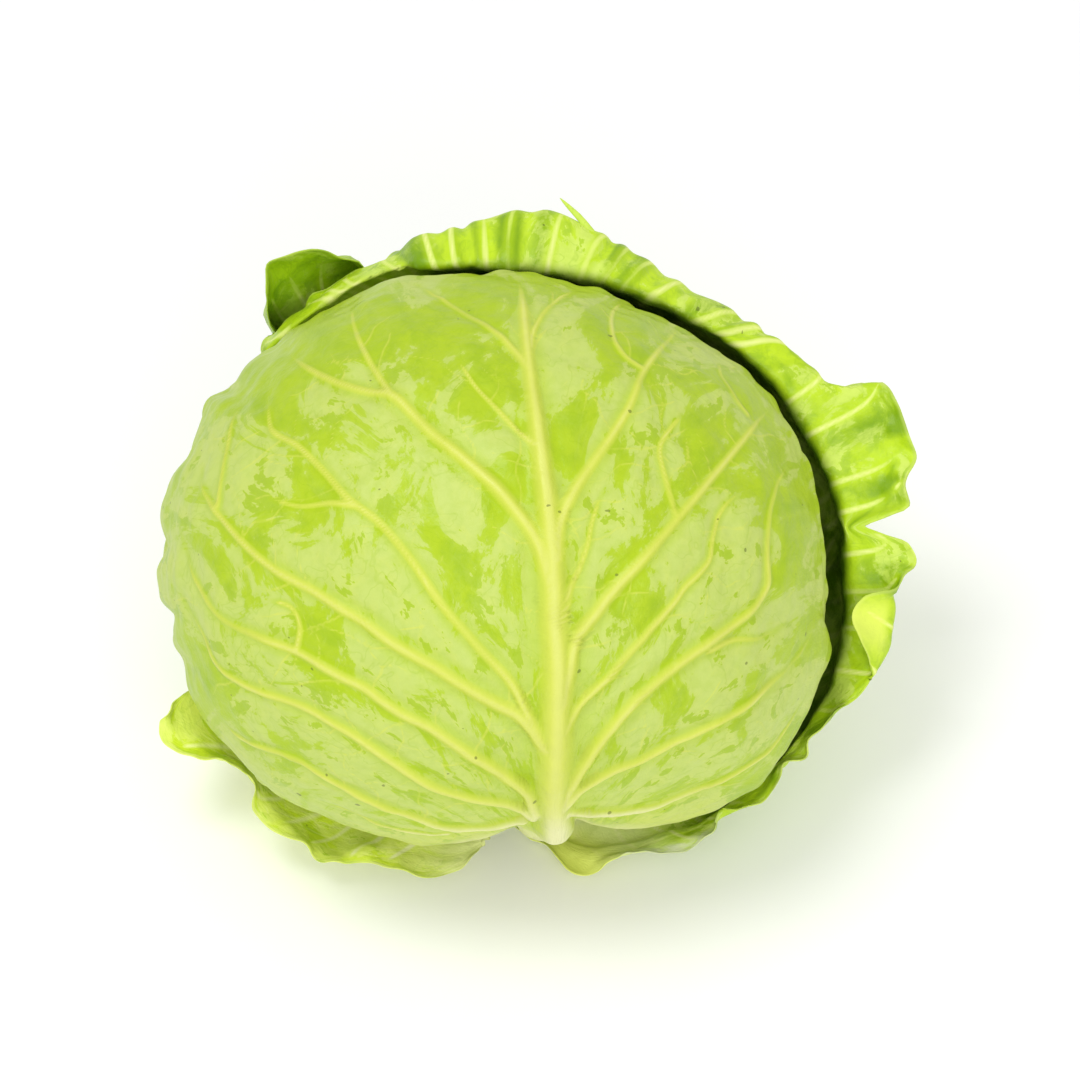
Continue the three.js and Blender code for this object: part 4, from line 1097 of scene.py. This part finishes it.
def leaf_finish(name, colours, wear, seed):
    """A waxy leaf: bloom with rubbed green patches, faint fine veins, and ribs that whiten to the stem.

    The colours are rubbed green, deep green, pale bloom, vein and fleshy rib. More wear rubs more bloom off.
    It also paints shade into the ruffles' valleys and onto the inner face in the gap, and paints light onto
    the shadowed lowest tip; the corner flap is painted lighter too.
    """
    green, deep, pale, vein, fleshy = (paint(*colour) for colour in colours)
    f = Finish(name)
    strokes = f.noise(1.0, 6, 0.66, 0.7, f.along_veins(1 / 17, 1 / 27, seed))
    smears = f.noise(1.0, 4, 0.62, 0.4, f.along_veins(1 / 7, 1 / 11, seed + 40))
    outer = f.ramp(f.field("along"), 40.0, 190.0, -0.035, 0.05)
    worn = f.plus(f.plus(strokes, outer), wear)
    rubbed = f.plus(f.ramp(worn, 0.518, 0.536, 0.0, 0.55), f.ramp(worn, 0.45, 0.6, 0.0, 0.45))
    flecks = f.ramp(f.plus(smears, wear), 0.59, 0.61, 0.0, 0.85)
    rubbed = f.math("MAXIMUM", rubbed, flecks)
    mottle = f.noise(330, 2, 0.5)
    streak = f.ramp(smears, 0.42, 0.7)
    waxed = f.mix(f.times(streak, 0.6), pale, blend(pale, vein, 0.5))
    waxed = f.mix(f.ramp(f.field("base"), 0.0, 0.7, 0.0, 0.6), waxed, blend(pale, vein, 0.7))
    bare = f.mix(f.times(streak, 0.75), green, deep)
    colour = f.mix(f.times(rubbed, 0.9), waxed, bare)
    colour = f.mix(f.ramp(mottle, 0.4, 0.7, 0.0, 0.14), colour, deep)
    threads = f.threads(f.noise(60 + seed, 3, 0.6, 0.4), 0.016)
    colour = f.mix(f.times(threads, 0.22), colour, deep)
    # Painted shade: the valleys between the ruffles are darkened in blotches towards dark green.
    hollow_shade = f.times(f.ramp(f.field("hollow_shade"), 0.1, 1.0), f.ramp(strokes, 0.36, 0.56, 0.15, 0.85))
    colour = f.mix(hollow_shade, colour, blend(deep, HOLLOW_SHADE_PAINT, 0.4))
    rib = f.mix(f.ramp(f.field("base"), 0.0, 0.6), vein, fleshy)
    for field, low, high, most, other in (
        ("vein", 3.6, 1.3, 0.4, green),
        ("twig", 1.3, 0.3, 0.5, vein),
        ("vein", 1.5, 0.9, 0.7, blend(green, vein, 0.6)),
        ("vein", 1.1, 0.2, 0.95, rib),
        ("vein", 0.6, 0.05, 0.65, f.mix(0.3, rib, fleshy)),
        ("base", 0.6, 1.0, 0.7, fleshy),
        ("edge", 1.6, 0.2, 0.3, vein),
        # Painted light: a lighter colour on the lowest tip, which lies in the head's shadow, and on the
        # corner flap.
        ("painted_light_and_shade", 0.1, 1.0, 0.8, PAINTED_LIGHT_PAINT),
    ):
        colour = f.mix(f.ramp(f.field(field), low, high, 0.0, most), colour, other)
    dry = f.times(f.field("dry"), f.ramp(smears, 0.4, 0.56, 0.3, 0.95))
    colour = f.mix(dry, colour, DRY_PAINT)
    # Painted shade: the inner face in the gap between the wrapper leaf and the head is darkened in blotches
    # towards dark green.
    inside = f.math("SUBTRACT", 1.0, f.field("outside"))
    shade = f.times(f.ramp(f.field("painted_light_and_shade"), -0.1, -1.0, 0.0, 0.95), inside)
    shade = f.times(shade, f.ramp(strokes, 0.4, 0.56, 0.82, 1.0))
    colour = f.mix(shade, colour, blend(deep, GAP_SHADE_PAINT, 0.9))
    colour = f.mix(f.ramp(f.noise(360, 0), 0.862, 0.88, 0.0, 0.6), colour, SPECK_PAINT)
    f.put(f.shader.inputs["Base Color"], colour)
    f.put(f.shader.inputs["Roughness"], f.ramp(rubbed, 0.0, 1.0, 0.47, 0.36))
    f.shader.inputs["Specular IOR Level"].default_value = 0.24
    f.bump(f.plus(f.times(mottle, 0.6), f.times(smears, 1.2)), 0.5, 0.0009)
    return f.material


def stem_finish():
    """A cut stem: a woody ring round a paler, slightly dried pith, and a green, fibrous side."""
    f = Finish("stem_flesh")
    ring = f.times(f.ramp(f.field("radius"), 0.5, 0.58), f.ramp(f.field("radius"), 0.72, 0.64))
    fibre = f.noise(300, 4, 0.6)
    face = f.mix(ring, paint(232, 226, 178), paint(205, 205, 130))
    face = f.mix(f.ramp(fibre, 0.55, 0.8, 0.0, 0.5), face, paint(190, 170, 110))
    side = f.mix(fibre, paint(206, 222, 120), paint(230, 233, 176))
    f.put(f.shader.inputs["Base Color"], f.mix(f.field("cut"), side, face))
    f.put(f.shader.inputs["Roughness"], f.ramp(fibre, 0.2, 0.8, 0.55, 0.75))
    f.bump(f.noise(700, 4, 0.65), 0.5, 0.0006)
    return f.material


# Each skin: its five colours, wear and seed.
SKINS = {
    "front": (((167, 194, 2), (144, 178, 0), (187, 204, 104), (205, 212, 86), (224, 224, 166)), 0.006, 0),
    "wrapper": (((190, 222, 16), (136, 178, 2), (204, 227, 96), (228, 238, 136), (234, 240, 176)), 0.03, 3),
    "upper": (((164, 200, 12), (104, 150, 0), (178, 206, 70), (208, 224, 112), (226, 233, 164)), 0.04, 5),
    # The loose leaf's colours are its own yellow-green, made lighter as painted light because the leaf lies
    # in the head's shadow.
    "loose": (((210, 232, 44), (166, 202, 16), (224, 238, 104), (236, 244, 150), (240, 244, 180)), -0.04, 9),
    "head": (((186, 210, 60), (168, 198, 40), (204, 220, 124), (222, 230, 140), (232, 235, 180)), -0.05, 6),
}
skins = {key: leaf_finish(f"{key}_leaf_skin", *skin) for key, skin in SKINS.items()}

made = [
    (front_leaf(), "front_leaf", skins["front"], "front_leaf"),
    (wrapper_leaf_back(), "wrapper_leaf_back", skins["wrapper"], "wrapper_leaf"),
    (upper_leaf(), "wrapper_leaf_upper_left", skins["upper"], "wrapper_leaf"),
    (lower_leaf(), "wrapper_leaf_lower_left", skins["loose"], "wrapper_leaf"),
    (sprig(), "wrapper_leaf_back", skins["wrapper"], "wrapper_leaf"),
    (side_leaf("left_leaf_fine", 262, 72, LEFT_LEAF_LIFT), "left_leaf", skins["head"], "head_leaf"),
    (side_leaf("right_leaf_fine", -66, 122, RIGHT_LEAF_LIFT), "right_leaf", skins["head"], "head_leaf"),
    (inner_head(), "inner_head", skins["head"], "head_leaf"),
    (stem(), "stem", stem_finish(), "stem"),
]
for piece, node, skin, slot in made:
    piece.data.materials.append(skin)
    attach(piece, "root")
    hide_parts(node)


# The studio: a pale floor, soft light from above and in front, and a camera that looks down at the head.
FLOOR_SIZE = 4.0
LIGHT_TARGET = Vector((0, 0, 0.09))
corners = [(x * FLOOR_SIZE / 2, y * FLOOR_SIZE / 2, 0) for x, y in ((-1, -1), (1, -1), (1, 1), (-1, 1))]
floor_mesh = bpy.data.meshes.new("studio_floor")
floor_mesh.from_pydata(corners, [], [(0, 1, 2, 3)])
floor = add_object("studio_floor", floor_mesh)
floor_paint = Finish("studio_floor_paint")
floor_paint.shader.inputs["Base Color"].default_value = paint(252, 252, 251)
floor_paint.shader.inputs["Roughness"].default_value = 0.9
floor_mesh.materials.append(floor_paint.material)

world = bpy.data.worlds.new("studio_air")
world.use_nodes = True
world.node_tree.nodes["Background"].inputs["Color"].default_value = (1, 1, 1, 1)
world.node_tree.nodes["Background"].inputs["Strength"].default_value = 0.78
bpy.context.scene.world = world


def area_light(name, place, size, power):
    light = bpy.data.lights.new(name, "AREA")
    light.shape = "DISK"
    light.size = size
    light.energy = power
    lamp = add_object(name, light)
    lamp.location = place
    lamp.rotation_euler = (LIGHT_TARGET - Vector(place)).to_track_quat("-Z", "Y").to_euler()


area_light("key_light", (-0.35, -0.15, 1.3), 0.5, 5.6)
area_light("fill_light", (0.25, -1.15, 0.75), 0.8, 4.8)

camera_data = bpy.data.cameras.new("view_camera")
camera_data.sensor_width = 36
camera_data.lens = 18 * EYE_DISTANCE / (VIEW_MIDDLE[0] * VIEW_UNIT)
camera_data.clip_start = 0.01
camera = add_object("view_camera", camera_data)
camera.rotation_euler = (np.radians(90 - LEAN), 0, 0)
camera.location = in_frame([-HEAD_X, -HEAD_Y, EYE_DISTANCE])
bpy.context.scene.camera = camera
bpy.context.scene.view_settings.view_transform = "Standard"
